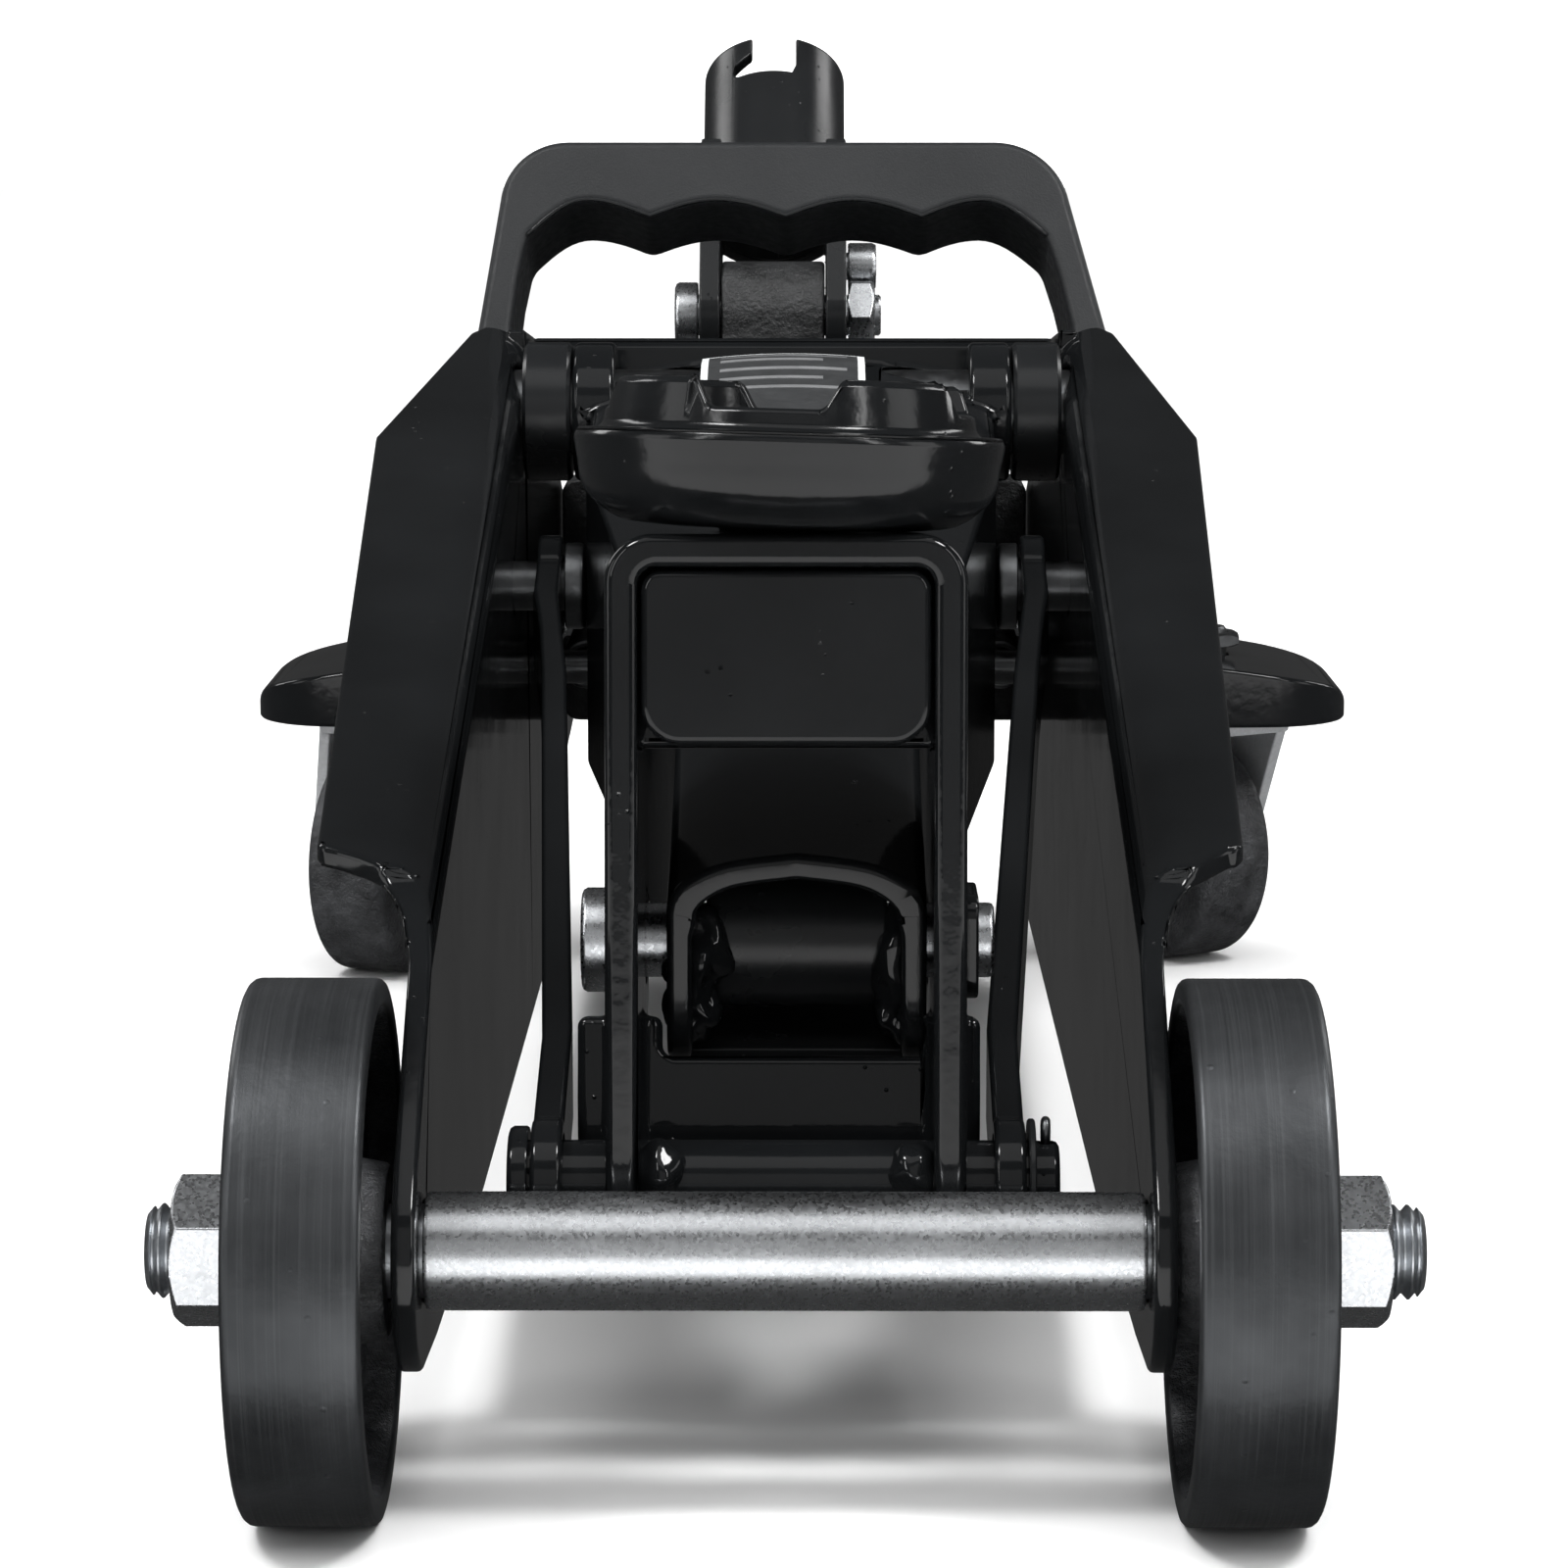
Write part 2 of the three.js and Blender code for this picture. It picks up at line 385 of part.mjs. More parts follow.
// ---------------------------------------------------------------- hydraulic unit
{
  const X = SOCKET_X, [py, pz] = SOCKET_PIVOT;
  const lug = plateX([...arc(py, pz, 10.5, -10, 190, 10), [354.5, 95], [375.5, 95]], X - 9.2, X + 9.2);
  const body = plateX(rounded([[338, 49], [392, 52], [395, 60], [395, 96], [388, 100], [338, 100]], [5, 6, 0, 0, 4, 8], 3), -32.4, 32.4);
  piece("power_unit_block",
    cut(join(body, lug),
      rodY(13.2, 300, 366, 0, RAM_Z, 24),
      rodZ(5.4, 66, 120, X, 383, 16),
      rodX(4.4, -40, 40, py, pz, 16),
      rodY(5.3, 382, 420, 18, 78, 16),
      rodX(4.4, 26, 60, 345, RAM_Z, 12), rodX(4.4, -60, -26, 345, RAM_Z, 12),
      rodZ(4.2, 92, 120, 22, 352, 12)),
    CAST);
  piece("reservoir_tube", cut(rodY(28, 294.3, 337.7, 0, RAM_Z, 28), rodY(25.6, 280, 350, 0, RAM_Z, 28)), PAINT);
  piece("cylinder_tube", cut(rodY(17.5, 294.3, 337.7, 0, RAM_Z, 24), rodY(13.2, 280, 350, 0, RAM_Z, 24)), STEEL);
  piece("cylinder_gland", cut(rodY(28, 289.6, 294, 0, RAM_Z, 28), rodY(12.8, 280, 300, 0, RAM_Z, 24)), PAINT);
  piece("filler_plug", join(rodZ(3.9, 94, 101, 22, 352, 12), rodZ(6, 100.3, 104.5, 22, 352, 6)), ZINC);
  // ram: a tongue with an upright slot for the arm's pin, on a round rod
  const tongue = plateX(
    rounded([[240.6, 54.5], [270, 54.5], [286, 60], [286, 81], [270, 86.5], [240.6, 86.5]], [7, 4, 0, 0, 4, 7], 3),
    -10, 10);
  const slot = plateX(rounded([[RAM_PIN[0] - 6.3, 59.8], [RAM_PIN[0] + 6.3, 59.8], [RAM_PIN[0] + 6.3, 81.4], [RAM_PIN[0] - 6.3, 81.4]], 6.2, 4), -20, 20);
  piece("ram", cut(join(tongue, rodY(12.3, 284, 362, 0, RAM_Z, 24)), slot, rodX(3.4, -20, 20, 280.5, RAM_Z, 12)), CHROME);
  piece("spring_anchor_bar", rodX(3.0, -42.4, 42.4, 280.5, RAM_Z, 12), STEEL);
  for (const [side, k] of [["left", -1], ["right", 1]]) {
    const bolt = latheX([[0, 26.6], [4, 26.6], [4, 47.2], [3.4, 47.8], [0, 47.8]], 16, 345, RAM_Z);
    piece("power_unit_stud_" + side, k < 0 ? mirrorX(geometryOf(S(bolt))) : bolt, ZINC);
    piece("return_spring_" + side, cut(rodY(4.6, 284.4, 340.4, 37.6 * k, RAM_Z, 16), rodY(3.2, 270, 350, 37.6 * k, RAM_Z, 12)), STEEL);
  }
  // pump plunger with its collar, and its spring
  piece("pump_plunger",
    lathe([[0, 68], [5, 68], [5, 108.6], [7.6, 108.6], [7.6, 111.4], [5, 112.2], [4.4, 113.5], [0, 113.5]], 16).translate(X, 383, 0), CHROME);
  piece("pump_spring", cut(rodZ(7.4, 100.6, 108.2, X, 383, 16), rodZ(5.7, 90, 120, X, 383, 14)), STEEL);
  piece("release_valve",
    join(rodY(4.9, 384, 400, 18, 78, 16), rodY(6.5, 395.5, 403, 18, 78, 16), rodX(2.2, 7, 29, 400.4, 78, 12)), ZINC);
}

// ---------------------------------------------------------------- cover between the plates, behind the arm
piece("top_cover",
  plateX([[247.6, 122], [250.2, 122], [250.6, 128.6], [300, 122.4], [345.5, 108.4], [346.3, 110.8], [300.6, 125], [250, 131.2], [248.2, 130.4]], -44.6, 44.6),
  PAINT);

// ---------------------------------------------------------------- carry handle: legs outside the plates, grip with four finger hollows
{
  const lean = rad(HANDLE_LEAN), DEPTH = 21.5;
  const outerX = (v) => 54.9 - 0.14 * Math.max(v, 0), shift = (v) => -2 * Math.max(v, 0) / 37;
  const arcs = [];
  const cusps = [-45.2, -23.7, 0, 23.7, 45.2];
  for (let i = 0; i < 4; i++) {
    const a = cusps[i], b = cusps[i + 1], n = 6;
    for (let q = i ? 1 : 0; q <= n; q++) {
      const t = q / n, end = (i === 0 && t < 0.5) || (i === 3 && t > 0.5);
      const low = end ? 19.0 : 22.6;
      arcs.push([a + (b - a) * t, low + (25.6 - low) * Math.sin(Math.PI * t)]);
    }
  }
  const outline = [
    [-outerX(0), -17], ...[], [-48.4, -17], [-48.4, 3], [-46.6, 12], ...arcs, [46.6, 12], [48.4, 3], [48.4, -17], [outerX(0), -17],
    [outerX(0), 0], ...arc(outerX(37) - 12.5, 37 - 12.5, 12.5, 8, 90, 6), ...arc(-outerX(37) + 12.5, 37 - 12.5, 12.5, 90, 172, 6), [-outerX(0), 0],
  ].map(([x, v]) => [x + shift(v), v]);
  const up = [0, Math.sin(lean), Math.cos(lean)], back = [0, -Math.cos(lean), Math.sin(lean)];
  const grip = extrude(outline, DEPTH)
    .applyMatrix4(basis([1, 0, 0], up, back))
    .translate(0, 252 + DEPTH * Math.cos(lean), 131 - DEPTH * Math.sin(lean));
  piece("carry_handle", cut(grip, rodX(3.3, -80, 80, 262, 121, 12)), PLASTIC);
  for (const [side, k] of [["left", -1], ["right", 1]]) {
    const bolt = latheX([[0, 40.4], [5.4, 40.4], [5.4, 44.7], [2.9, 44.7], [2.9, 55.2], [5.6, 55.2], [5.4, 57.5], [4.2, 58.5], [0, 58.5]], 12, 262, 121);
    piece("carry_handle_bolt_" + side, k < 0 ? mirrorX(geometryOf(S(bolt))) : bolt, STEEL);
  }
}

// ---------------------------------------------------------------- handle socket, drawn along its own Z and leaned back
const socketFrame = new THREE.Group();
socketFrame.position.set(SOCKET_X, SOCKET_PIVOT[0], SOCKET_PIVOT[1]);
socketFrame.rotation.x = -rad(90 - SOCKET_ELEVATION);
frame.add(socketFrame);
{
  const lean = rad(90 - SOCKET_ELEVATION), L = SOCKET_LENGTH;
  // the roller sits 18 behind and 10 below the pivot; in the socket's own frame:
  const RY = 18 * Math.cos(lean) + 10 * Math.sin(lean), RZ = 18 * Math.sin(lean) - 10 * Math.cos(lean);
  const cheekOutline = [...arc(0, 0, 11.5, 200, 300, 6), ...arc(RY, RZ, 7.5, -70, 60, 5), [13.4, 24], [13.4, 34], [-13.4, 34], [-13.4, 22]];
  const tube = cut(rodZ(SOCKET_R, 23, L, 0, 0, 28), rodZ(SOCKET_BORE, 10, L + 5, 0, 0, 28));
  const cheeks = join(tube,
    cut(plateX(cheekOutline, 10.3, 14.3), rodZ(SOCKET_BORE, 10, 40, 0, 0, 28)),
    cut(plateX(cheekOutline, -14.3, -10.3), rodZ(SOCKET_BORE, 10, 40, 0, 0, 28)));
  // bayonet slot on the upper side of the mouth, with an undercut to the left
  const slotOutline = rounded([[-4.35, L + 5], [-4.35, L - 4.2], [-8.4, L - 6.6], [-7.6, L - 9.2], [3.6, L - 9.2], [4.35, L - 7], [4.35, L + 5]], [0, 0.8, 1.2, 1, 0, 0, 0], 2);
  piece("handle_socket",
    cut(cheeks, plateY(slotOutline, -20, -2), rodX(4.4, -40, 40, 0, 0, 16), rodX(2.7, -40, 40, RY, RZ, 12), rodX(3.0, 5, 40, 0, 12.3, 12)),
    PAINT, socketFrame);
  piece("handle_lock_screw", latheX([[0, 9.9], [2.7, 9.9], [2.7, 14.7], [4.6, 14.7], [4.6, 19.6], [4.1, 20.3], [0, 20.3]], 16, 0, 12.3), ZINC, socketFrame);
  piece("pump_roller", cut(rodX(5, -8, 8, RY, RZ, 20), rodX(2.6, -20, 20, RY, RZ, 12)), STEEL, socketFrame);
  piece("pump_roller_pin", latheX([[0, -16], [3.6, -16], [3.6, -14.7], [2.3, -14.7], [2.3, 15], [0, 15]], 12, RY, RZ), ZINC, socketFrame);
}
{
  const [y, z] = SOCKET_PIVOT;
  piece("handle_pivot_bolt",
    latheX([[0, -23.4], [5.6, -23.4], [6.4, -22.7], [6.4, -18.9], [4, -18.9], [4, 16.9], [0, 16.9]], 16, y, z), ZINC);
  piece("handle_pivot_nut", cut(rodX(6.5 / Math.cos(Math.PI / 6), 10.5, 15.7, y, z, 6), rodX(4.3, 0, 20, y, z, 16)), ZINC);
}

// ---------------------------------------------------------------- rear casters
for (const [side, k, turn] of [["left", -1, rad(-CASTER_TURN_LEFT)], ["right", 1, rad(CASTER_TURN_RIGHT)]]) {
  // own frame: origin on the ground under the kingpin, axle along X, wheel trailing along Y
  const swivel = new THREE.Group();
  const kingX = KINGPIN[0] * k + REAR_SHIFT;
  swivel.position.set(kingX, KINGPIN[1], 0);
  swivel.rotation.z = turn;
  frame.add(swivel);
  const trail = k < 0 ? -CASTER_TRAIL : CASTER_TRAIL;
  const flats = 1 / Math.cos(Math.PI / 28);
  const wheel = latheX(
    [[CASTER_R - 1.6, -CASTER_HALF], [CASTER_R, -CASTER_HALF + 2.4], [CASTER_R, CASTER_HALF - 2.4], [CASTER_R - 1.6, CASTER_HALF],
      [8, CASTER_HALF], [8, 9.9], [3.6, 9.9], [3.6, -9.9], [8, -9.9], [8, -CASTER_HALF]]
      .map(([r, x]) => [r > 17 ? r * flats : r, x]),
    28, trail, CASTER_R, Math.PI / 28, true);
  piece("caster_wheel_" + side, wheel, IRON, swivel);
  const cheek = rounded([[-11, 49.4], [trail - 7.6, CASTER_R - 3], [trail - 4, CASTER_R - 7.5], [trail + 4, CASTER_R - 7.5], [trail + 7.6, CASTER_R - 3], [11, 49.4]], [0, 3, 2, 2, 3, 0], 2);
  const crown = plateZ(rounded([[-12.8, -13.4], [12.8, -13.4], [12.8, 13.4], [-12.8, 13.4]], 4, 2), 47.2, 49.4);
  piece("caster_fork_" + side,
    cut(join(crown, plateX(cheek, 10.4, 12.8), plateX(cheek, -12.8, -10.4), lathe([[0, 48], [11.5, 48], [11.5, 51.6], [9, 54.4], [8.4, 57.2], [0, 57.2]], 20)),
      rodZ(4.5, 40, 70, 0, 0, 16), rodX(3.4, -20, 20, trail, CASTER_R, 12)),
    ZINC, swivel);
  piece("caster_axle_" + side, latheX([[0, -14.7], [4.6, -14.7], [4.6, -13.1], [3.1, -13.1], [3.1, 13.1], [4.6, 13.1], [4.6, 14.7], [0, 14.7]], 12, trail, CASTER_R), ZINC, swivel);
  piece("caster_kingpin_" + side,
    lathe([[0, 45.4], [6, 45.4], [6.4, 46.8], [4.1, 46.8], [4.1, 63.9], [7.4, 63.9], [7.4, 66.2], [5.6, 67.6], [0, 67.6]], 16).translate(kingX, KINGPIN[1], 0), ZINC);
}

export default jack;
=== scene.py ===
import math

import bmesh
import bpy
from mathutils import Matrix, Vector, noise
from mathutils.bvhtree import BVHTree


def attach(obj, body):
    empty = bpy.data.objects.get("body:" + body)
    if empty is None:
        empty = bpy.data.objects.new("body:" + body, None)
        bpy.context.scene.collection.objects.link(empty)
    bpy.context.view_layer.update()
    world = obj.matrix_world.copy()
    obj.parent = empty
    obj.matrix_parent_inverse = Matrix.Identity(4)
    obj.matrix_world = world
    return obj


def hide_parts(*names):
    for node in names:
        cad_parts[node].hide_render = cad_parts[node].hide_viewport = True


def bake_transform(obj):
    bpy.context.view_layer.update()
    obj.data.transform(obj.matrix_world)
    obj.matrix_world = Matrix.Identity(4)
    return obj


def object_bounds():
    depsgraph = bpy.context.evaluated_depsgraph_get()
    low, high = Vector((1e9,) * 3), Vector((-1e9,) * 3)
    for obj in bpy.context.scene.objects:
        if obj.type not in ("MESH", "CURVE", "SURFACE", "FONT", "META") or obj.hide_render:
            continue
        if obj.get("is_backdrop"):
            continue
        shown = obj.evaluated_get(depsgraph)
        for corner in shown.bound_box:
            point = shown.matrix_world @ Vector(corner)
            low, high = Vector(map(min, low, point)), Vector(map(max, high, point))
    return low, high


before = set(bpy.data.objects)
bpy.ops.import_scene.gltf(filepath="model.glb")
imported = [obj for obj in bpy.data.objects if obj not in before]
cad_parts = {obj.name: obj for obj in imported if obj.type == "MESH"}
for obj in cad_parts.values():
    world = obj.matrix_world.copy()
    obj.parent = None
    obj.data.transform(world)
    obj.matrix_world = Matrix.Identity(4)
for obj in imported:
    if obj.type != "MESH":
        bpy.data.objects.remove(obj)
CAD_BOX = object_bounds()

# ------------------------------------------------------------------ dimensions, in millimetres, zero on the ground
# under the front axle; MM takes them to the model's own frame, in metres
ORIGIN_Y = 190.95
MM = Matrix.Scale(0.001, 4) @ Matrix.Translation((0, -ORIGIN_Y, 0))
P0, P1, P3 = (225, 121), (50, 64), (20, 38)
P2 = (P0[0] + P3[0] - P1[0], P0[1] + P3[1] - P1[1])
RAM_PIN = (P0[0] + 55 * math.sin(math.radians(33.5)), P0[1] - 55 * math.cos(math.radians(33.5)))
RAM_Z = 70.5
SOCKET_X, SOCKET_PIVOT, ELEV = -4.2, (365, 129), 48
rad = math.radians


# ------------------------------------------------------------------ mesh tools
def mesh_of(verts, faces):
    bm = bmesh.new()
    vs = [bm.verts.new(v) for v in verts]
    for f in faces:
        try:
            bm.faces.new([vs[i] for i in f])
        except ValueError:
            pass
    bmesh.ops.remove_doubles(bm, verts=bm.verts, dist=1e-5)
    bmesh.ops.recalc_face_normals(bm, faces=bm.faces)
    vol = bm.calc_volume(signed=True)
    if vol < 0:
        bmesh.ops.reverse_faces(bm, faces=bm.faces)
    me = bpy.data.meshes.new("m")
    bm.to_mesh(me)
    bm.free()
    return me


def moved(me, matrix):
    me = me.copy()
    me.transform(matrix)
    if matrix.determinant() < 0:
        me.flip_normals()
    return me


def mirror_x(me):
    return moved(me, Matrix.Scale(-1, 4, (1, 0, 0)))


def prism(points, a0, a1, place):
    n = len(points)
    verts = [place(p, a0) for p in points] + [place(p, a1) for p in points]
    faces = [list(range(n)), list(range(n, 2 * n))] + [[i, (i + 1) % n, n + (i + 1) % n, n + i] for i in range(n)]
    return mesh_of(verts, faces)


def plate_x(points, x0, x1):
    return prism(points, x0, x1, lambda p, a: (a, p[0], p[1]))


def plate_y(points, y0, y1):
    return prism(points, y0, y1, lambda p, a: (p[0], a, p[1]))


def plate_z(points, z0, z1):
    return prism(points, z0, z1, lambda p, a: (p[0], p[1], a))


def box(x0, x1, y0, y1, z0, z1):
    return plate_z([(x0, y0), (x1, y0), (x1, y1), (x0, y1)], z0, z1)


def arc(cx, cy, r, a0, a1, n):
    return [(cx + r * math.cos(rad(a0 + (a1 - a0) * i / n)), cy + r * math.sin(rad(a0 + (a1 - a0) * i / n))) for i in range(n + 1)]


def lathe(profile, n=96, place=None, turn=0.0):
    """A closed solid of revolution from (r, a) points; place takes (u, v, a), with u and v across the axis."""
    place = place or (lambda u, v, a: (u, v, a))
    prof = list(profile)
    closed = prof[0][0] > 1e-6
    verts, rows = [], []
    for r, a in prof:
        if r < 1e-6:
            rows.append([len(verts)])
            verts.append(place(0, 0, a))
        else:
            rows.append(list(range(len(verts), len(verts) + n)))
            for i in range(n):
                t = turn + 2 * math.pi * i / n
                verts.append(place(r * math.cos(t), r * math.sin(t), a))
    faces = []
    m = len(rows)
    for k in range(m if closed else m - 1):
        A, B = rows[k], rows[(k + 1) % m]
        for i in range(n):
            j = (i + 1) % n
            if len(A) == 1 and len(B) == 1:
                continue
            if len(A) == 1:
                faces.append([A[0], B[i], B[j]])
            elif len(B) == 1:
                faces.append([A[i], A[j], B[0]])
            else:
                faces.append([A[i], A[j], B[j], B[i]])
    return mesh_of(verts, faces)


def at_x(y, z):
    return lambda u, v, a: (a, y + u, z + v)


def at_y(x, z):
    return lambda u, v, a: (x + u, a, z + v)


def at_z(x, y):
    return lambda u, v, a: (x + u, y + v, a)


def rod(r, a0, a1, place, n=64, turn=0.0):
    return lathe([(0, a0), (r, a0), (r, a1), (0, a1)], n, place, turn)


def round_rod(r, a0, a1, place, c=0.5, n=64):
    e = [(r - c + c * math.sin(rad(t)), a0 + c - c * math.cos(rad(t))) for t in (0, 30, 60, 90)]
    f = [(r - c + c * math.cos(rad(t)), a1 - c + c * math.sin(rad(t))) for t in (0, 30, 60, 90)]
    return lathe([(0, a0)] + e + f + [(0, a1)], n, place)


def rounded(points, radii, n=8):
    out = []
    for i, p in enumerate(points):
        r = radii[i] if isinstance(radii, (list, tuple)) else radii
        if not r:
            out.append(tuple(p))
            continue
        a, b = Vector(points[i - 1]), Vector(points[(i + 1) % len(points)])
        p = Vector(p)
        u, v = a - p, b - p
        lu, lv = u.length, v.length
        u.normalize()
        v.normalize()
        half = math.acos(max(-1, min(1, u.dot(v)))) / 2
        t = min(r / math.tan(half), lu * 0.49, lv * 0.49)
        rr = t * math.tan(half)
        m = (u + v).normalized()
        c = p + m * (rr / math.sin(half))
        s, e = p + u * t, p + v * t
        a0, a1 = math.atan2(s.y - c.y, s.x - c.x), math.atan2(e.y - c.y, e.x - c.x)
        while a1 - a0 > math.pi:
            a1 -= 2 * math.pi
        while a0 - a1 > math.pi:
            a1 += 2 * math.pi
        out += [(c.x + rr * math.cos(a0 + (a1 - a0) * k / n), c.y + rr * math.sin(a0 + (a1 - a0) * k / n)) for k in range(n + 1)]
    return out


def smooth_line(points, n=6):
    """Points of a Catmull-Rom curve through the given points."""
    P = [Vector(p) for p in points]
    out = []
    for i in range(len(P) - 1):
        a, b, c, d = P[max(i - 1, 0)], P[i], P[i + 1], P[min(i + 2, len(P) - 1)]
        for k in range(n):
            t = k / n
            q = 0.5 * (2 * b + (c - a) * t + (2 * a - 5 * b + 4 * c - d) * t * t + (3 * b - a - 3 * c + d) * t ** 3)
            out.append(tuple(q))
    out.append(tuple(P[-1]))
    return out


def loft(loops):
    n = len(loops[0])
    verts = [p for l in loops for p in l]
    faces = []
    for k in range(len(loops) - 1):
        for i in range(n):
            a, b = k * n + i, k * n + (i + 1) % n
            faces.append([a, b, b + n, a + n])
    faces.append(list(range(n)))
    faces.append(list(range((len(loops) - 1) * n, len(loops) * n)))
    return mesh_of(verts, faces)


def strap(a, ra, b, rb, n=16):
    d = (b[0] - a[0], b[1] - a[1])
    length = math.hypot(*d)
    base, lean = math.degrees(math.atan2(d[1], d[0])), math.degrees(math.acos((ra - rb) / length))
    return arc(b[0], b[1], rb, base - lean, base + lean, n) + arc(a[0], a[1], ra, base + lean, base + 360 - lean, n)


def boolean(a, b, op):
    A, B = bpy.data.objects.new("a", a), bpy.data.objects.new("b", b)
    col = bpy.context.scene.collection
    col.objects.link(A)
    col.objects.link(B)
    result = None
    for solver in ("MANIFOLD", "EXACT"):
        mod = A.modifiers.new("b", "BOOLEAN")
        mod.operation, mod.object = op, B
        try:
            mod.solver = solver
        except TypeError:
            A.modifiers.remove(mod)
            continue
        deps = bpy.context.evaluated_depsgraph_get()
        deps.update()
        result = bpy.data.meshes.new_from_object(A.evaluated_get(deps))
        A.modifiers.remove(mod)
        if len(result.polygons) and not (op == "UNION" and len(result.vertices) == len(a.vertices)):
            break
    bpy.data.objects.remove(A)
    bpy.data.objects.remove(B)
    return result


def join(first, *rest):
    for r in rest:
        first = boolean(first, r, "UNION")
    return first


def cut(first, *rest):
    for r in rest:
        first = boolean(first, r, "DIFFERENCE")
    return first


def common(first, *rest):
    for r in rest:
        first = boolean(first, r, "INTERSECT")
    return first


def clean(me, split=False):
    bm = bmesh.new()
    bm.from_mesh(me)
    bmesh.ops.remove_doubles(bm, verts=bm.verts, dist=2e-3)
    bmesh.ops.dissolve_degenerate(bm, dist=2e-3, edges=bm.edges)
    bmesh.ops.dissolve_limit(bm, angle_limit=rad(0.6), verts=bm.verts, edges=bm.edges, use_dissolve_boundaries=False)
    if split:
        bmesh.ops.connect_verts_concave(bm, faces=bm.faces)
    bm.to_mesh(me)
    bm.free()
    return me


def sharp_by_angle(me, degrees):
    me.shade_smooth()
    bm = bmesh.new()
    bm.from_mesh(me)
    for e in bm.edges:
        e.smooth = not (len(e.link_faces) == 2 and e.calc_face_angle(0) > rad(degrees))
    bm.to_mesh(me)
    bm.free()


def piece(name, me, body, nodes, material, bevel=0.0, segments=3, matrix=None, angle=28, blend=None, soft=False, split=True):
    """Puts a finished mesh in the scene: its edges rounded, its normals weighted, riding on its body."""
    me = me.copy()
    if matrix is not None:
        me.transform(matrix)
    if bevel:
        clean(me, split)
    me.transform(MM)
    sharp_by_angle(me, 180 if bevel or soft else 40)
    ob = bpy.data.objects.new(name, me)
    bpy.context.scene.collection.objects.link(ob)
    if bevel:
        b = ob.modifiers.new("bevel", "BEVEL")
        b.width, b.segments, b.limit_method, b.angle_limit = bevel * 0.001, segments, "ANGLE", rad(angle)
        b.use_clamp_overlap, b.miter_outer, b.profile = False, "MITER_ARC", 0.5
    w = ob.modifiers.new("normals", "WEIGHTED_NORMAL")
    w.keep_sharp, w.weight = True, 60
    deps = bpy.context.evaluated_depsgraph_get()
    deps.update()
    done = bpy.data.meshes.new_from_object(ob.evaluated_get(deps))
    ob.modifiers.clear()
    if bevel:  # a rounded corner stays within the bevel's own reach of the sheet it came from
        tree = BVHTree.FromPolygons([v.co for v in me.vertices], [tuple(p.vertices) for p in me.polygons])
        for v in done.vertices:
            near, _, _, gap = tree.find_nearest(v.co)
            if near is not None and gap > bevel * 0.00062:
                v.co = near
    ob.data = done
    done.name = name
    done.materials.clear()
    for m in material if isinstance(material, (list, tuple)) else [material]:
        done.materials.append(m)
    if blend:
        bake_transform(ob)
    else:
        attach(ob, body)
    if nodes:
        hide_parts(*nodes)
    return ob


def coil(radius, wire, turns, length, dead=1.5, sides=10, per=28):
    """A coil spring along +Z from 0 to length; its end turns lie closed."""
    pts = []
    n = int(turns * per)
    for i in range(n + 1):
        t = turns * i / n
        if t < dead:
            z = wire * 2 * t
        elif t > turns - dead:
            z = length - wire * 2 * (turns - t)
        else:
            z = wire * 2 * dead + (length - 4 * wire * dead) * (t - dead) / (turns - 2 * dead)
        pts.append(Vector((radius * math.cos(2 * math.pi * t), radius * math.sin(2 * math.pi * t), z)))
    return tube(pts, wire, sides)


def tube(pts, r, sides=10):
    verts, faces = [], []
    up = None
    for i, p in enumerate(pts):
        d = (pts[min(i + 1, len(pts) - 1)] - pts[max(i - 1, 0)]).normalized()
        if up is None:
            up = d.orthogonal().normalized()
        up = (up - d * up.dot(d)).normalized()
        side = d.cross(up)
        rr = r
        for k in range(sides):
            a = 2 * math.pi * k / sides
            verts.append(p + (up * math.cos(a) + side * math.sin(a)) * rr)
    for i in range(len(pts) - 1):
        for k in range(sides):
            a, b = i * sides + k, i * sides + (k + 1) % sides
            faces.append([a, b, b + sides, a + sides])
    faces.append(list(range(sides)))
    faces.append(list(range((len(pts) - 1) * sides, len(pts) * sides)))
    return mesh_of(verts, faces)


def blob(centre, size, seed, rough=0.22, n=26):
    """A lump of weld metal."""
    verts, faces = [], []
    for i in range(n + 1):
        th = math.pi * i / n
        for k in range(2 * n):
            ph = math.pi * k / n
            d = Vector((math.sin(th) * math.cos(ph), math.sin(th) * math.sin(ph), math.cos(th)))
            s = 1 + rough * noise.noise(d * 1.3 + Vector((seed * 3.1, seed, 0))) + 0.16 * rough * noise.noise(d * 3 + Vector((0, seed, seed)))
            verts.append((centre[0] + d.x * size[0] * s, centre[1] + d.y * size[1] * s, centre[2] + d.z * size[2] * s))
    for i in range(n):
        for k in range(2 * n):
            a, b = i * 2 * n + k, i * 2 * n + (k + 1) % (2 * n)
            faces.append([a, b, b + 2 * n, a + 2 * n])
    return mesh_of(verts, faces)


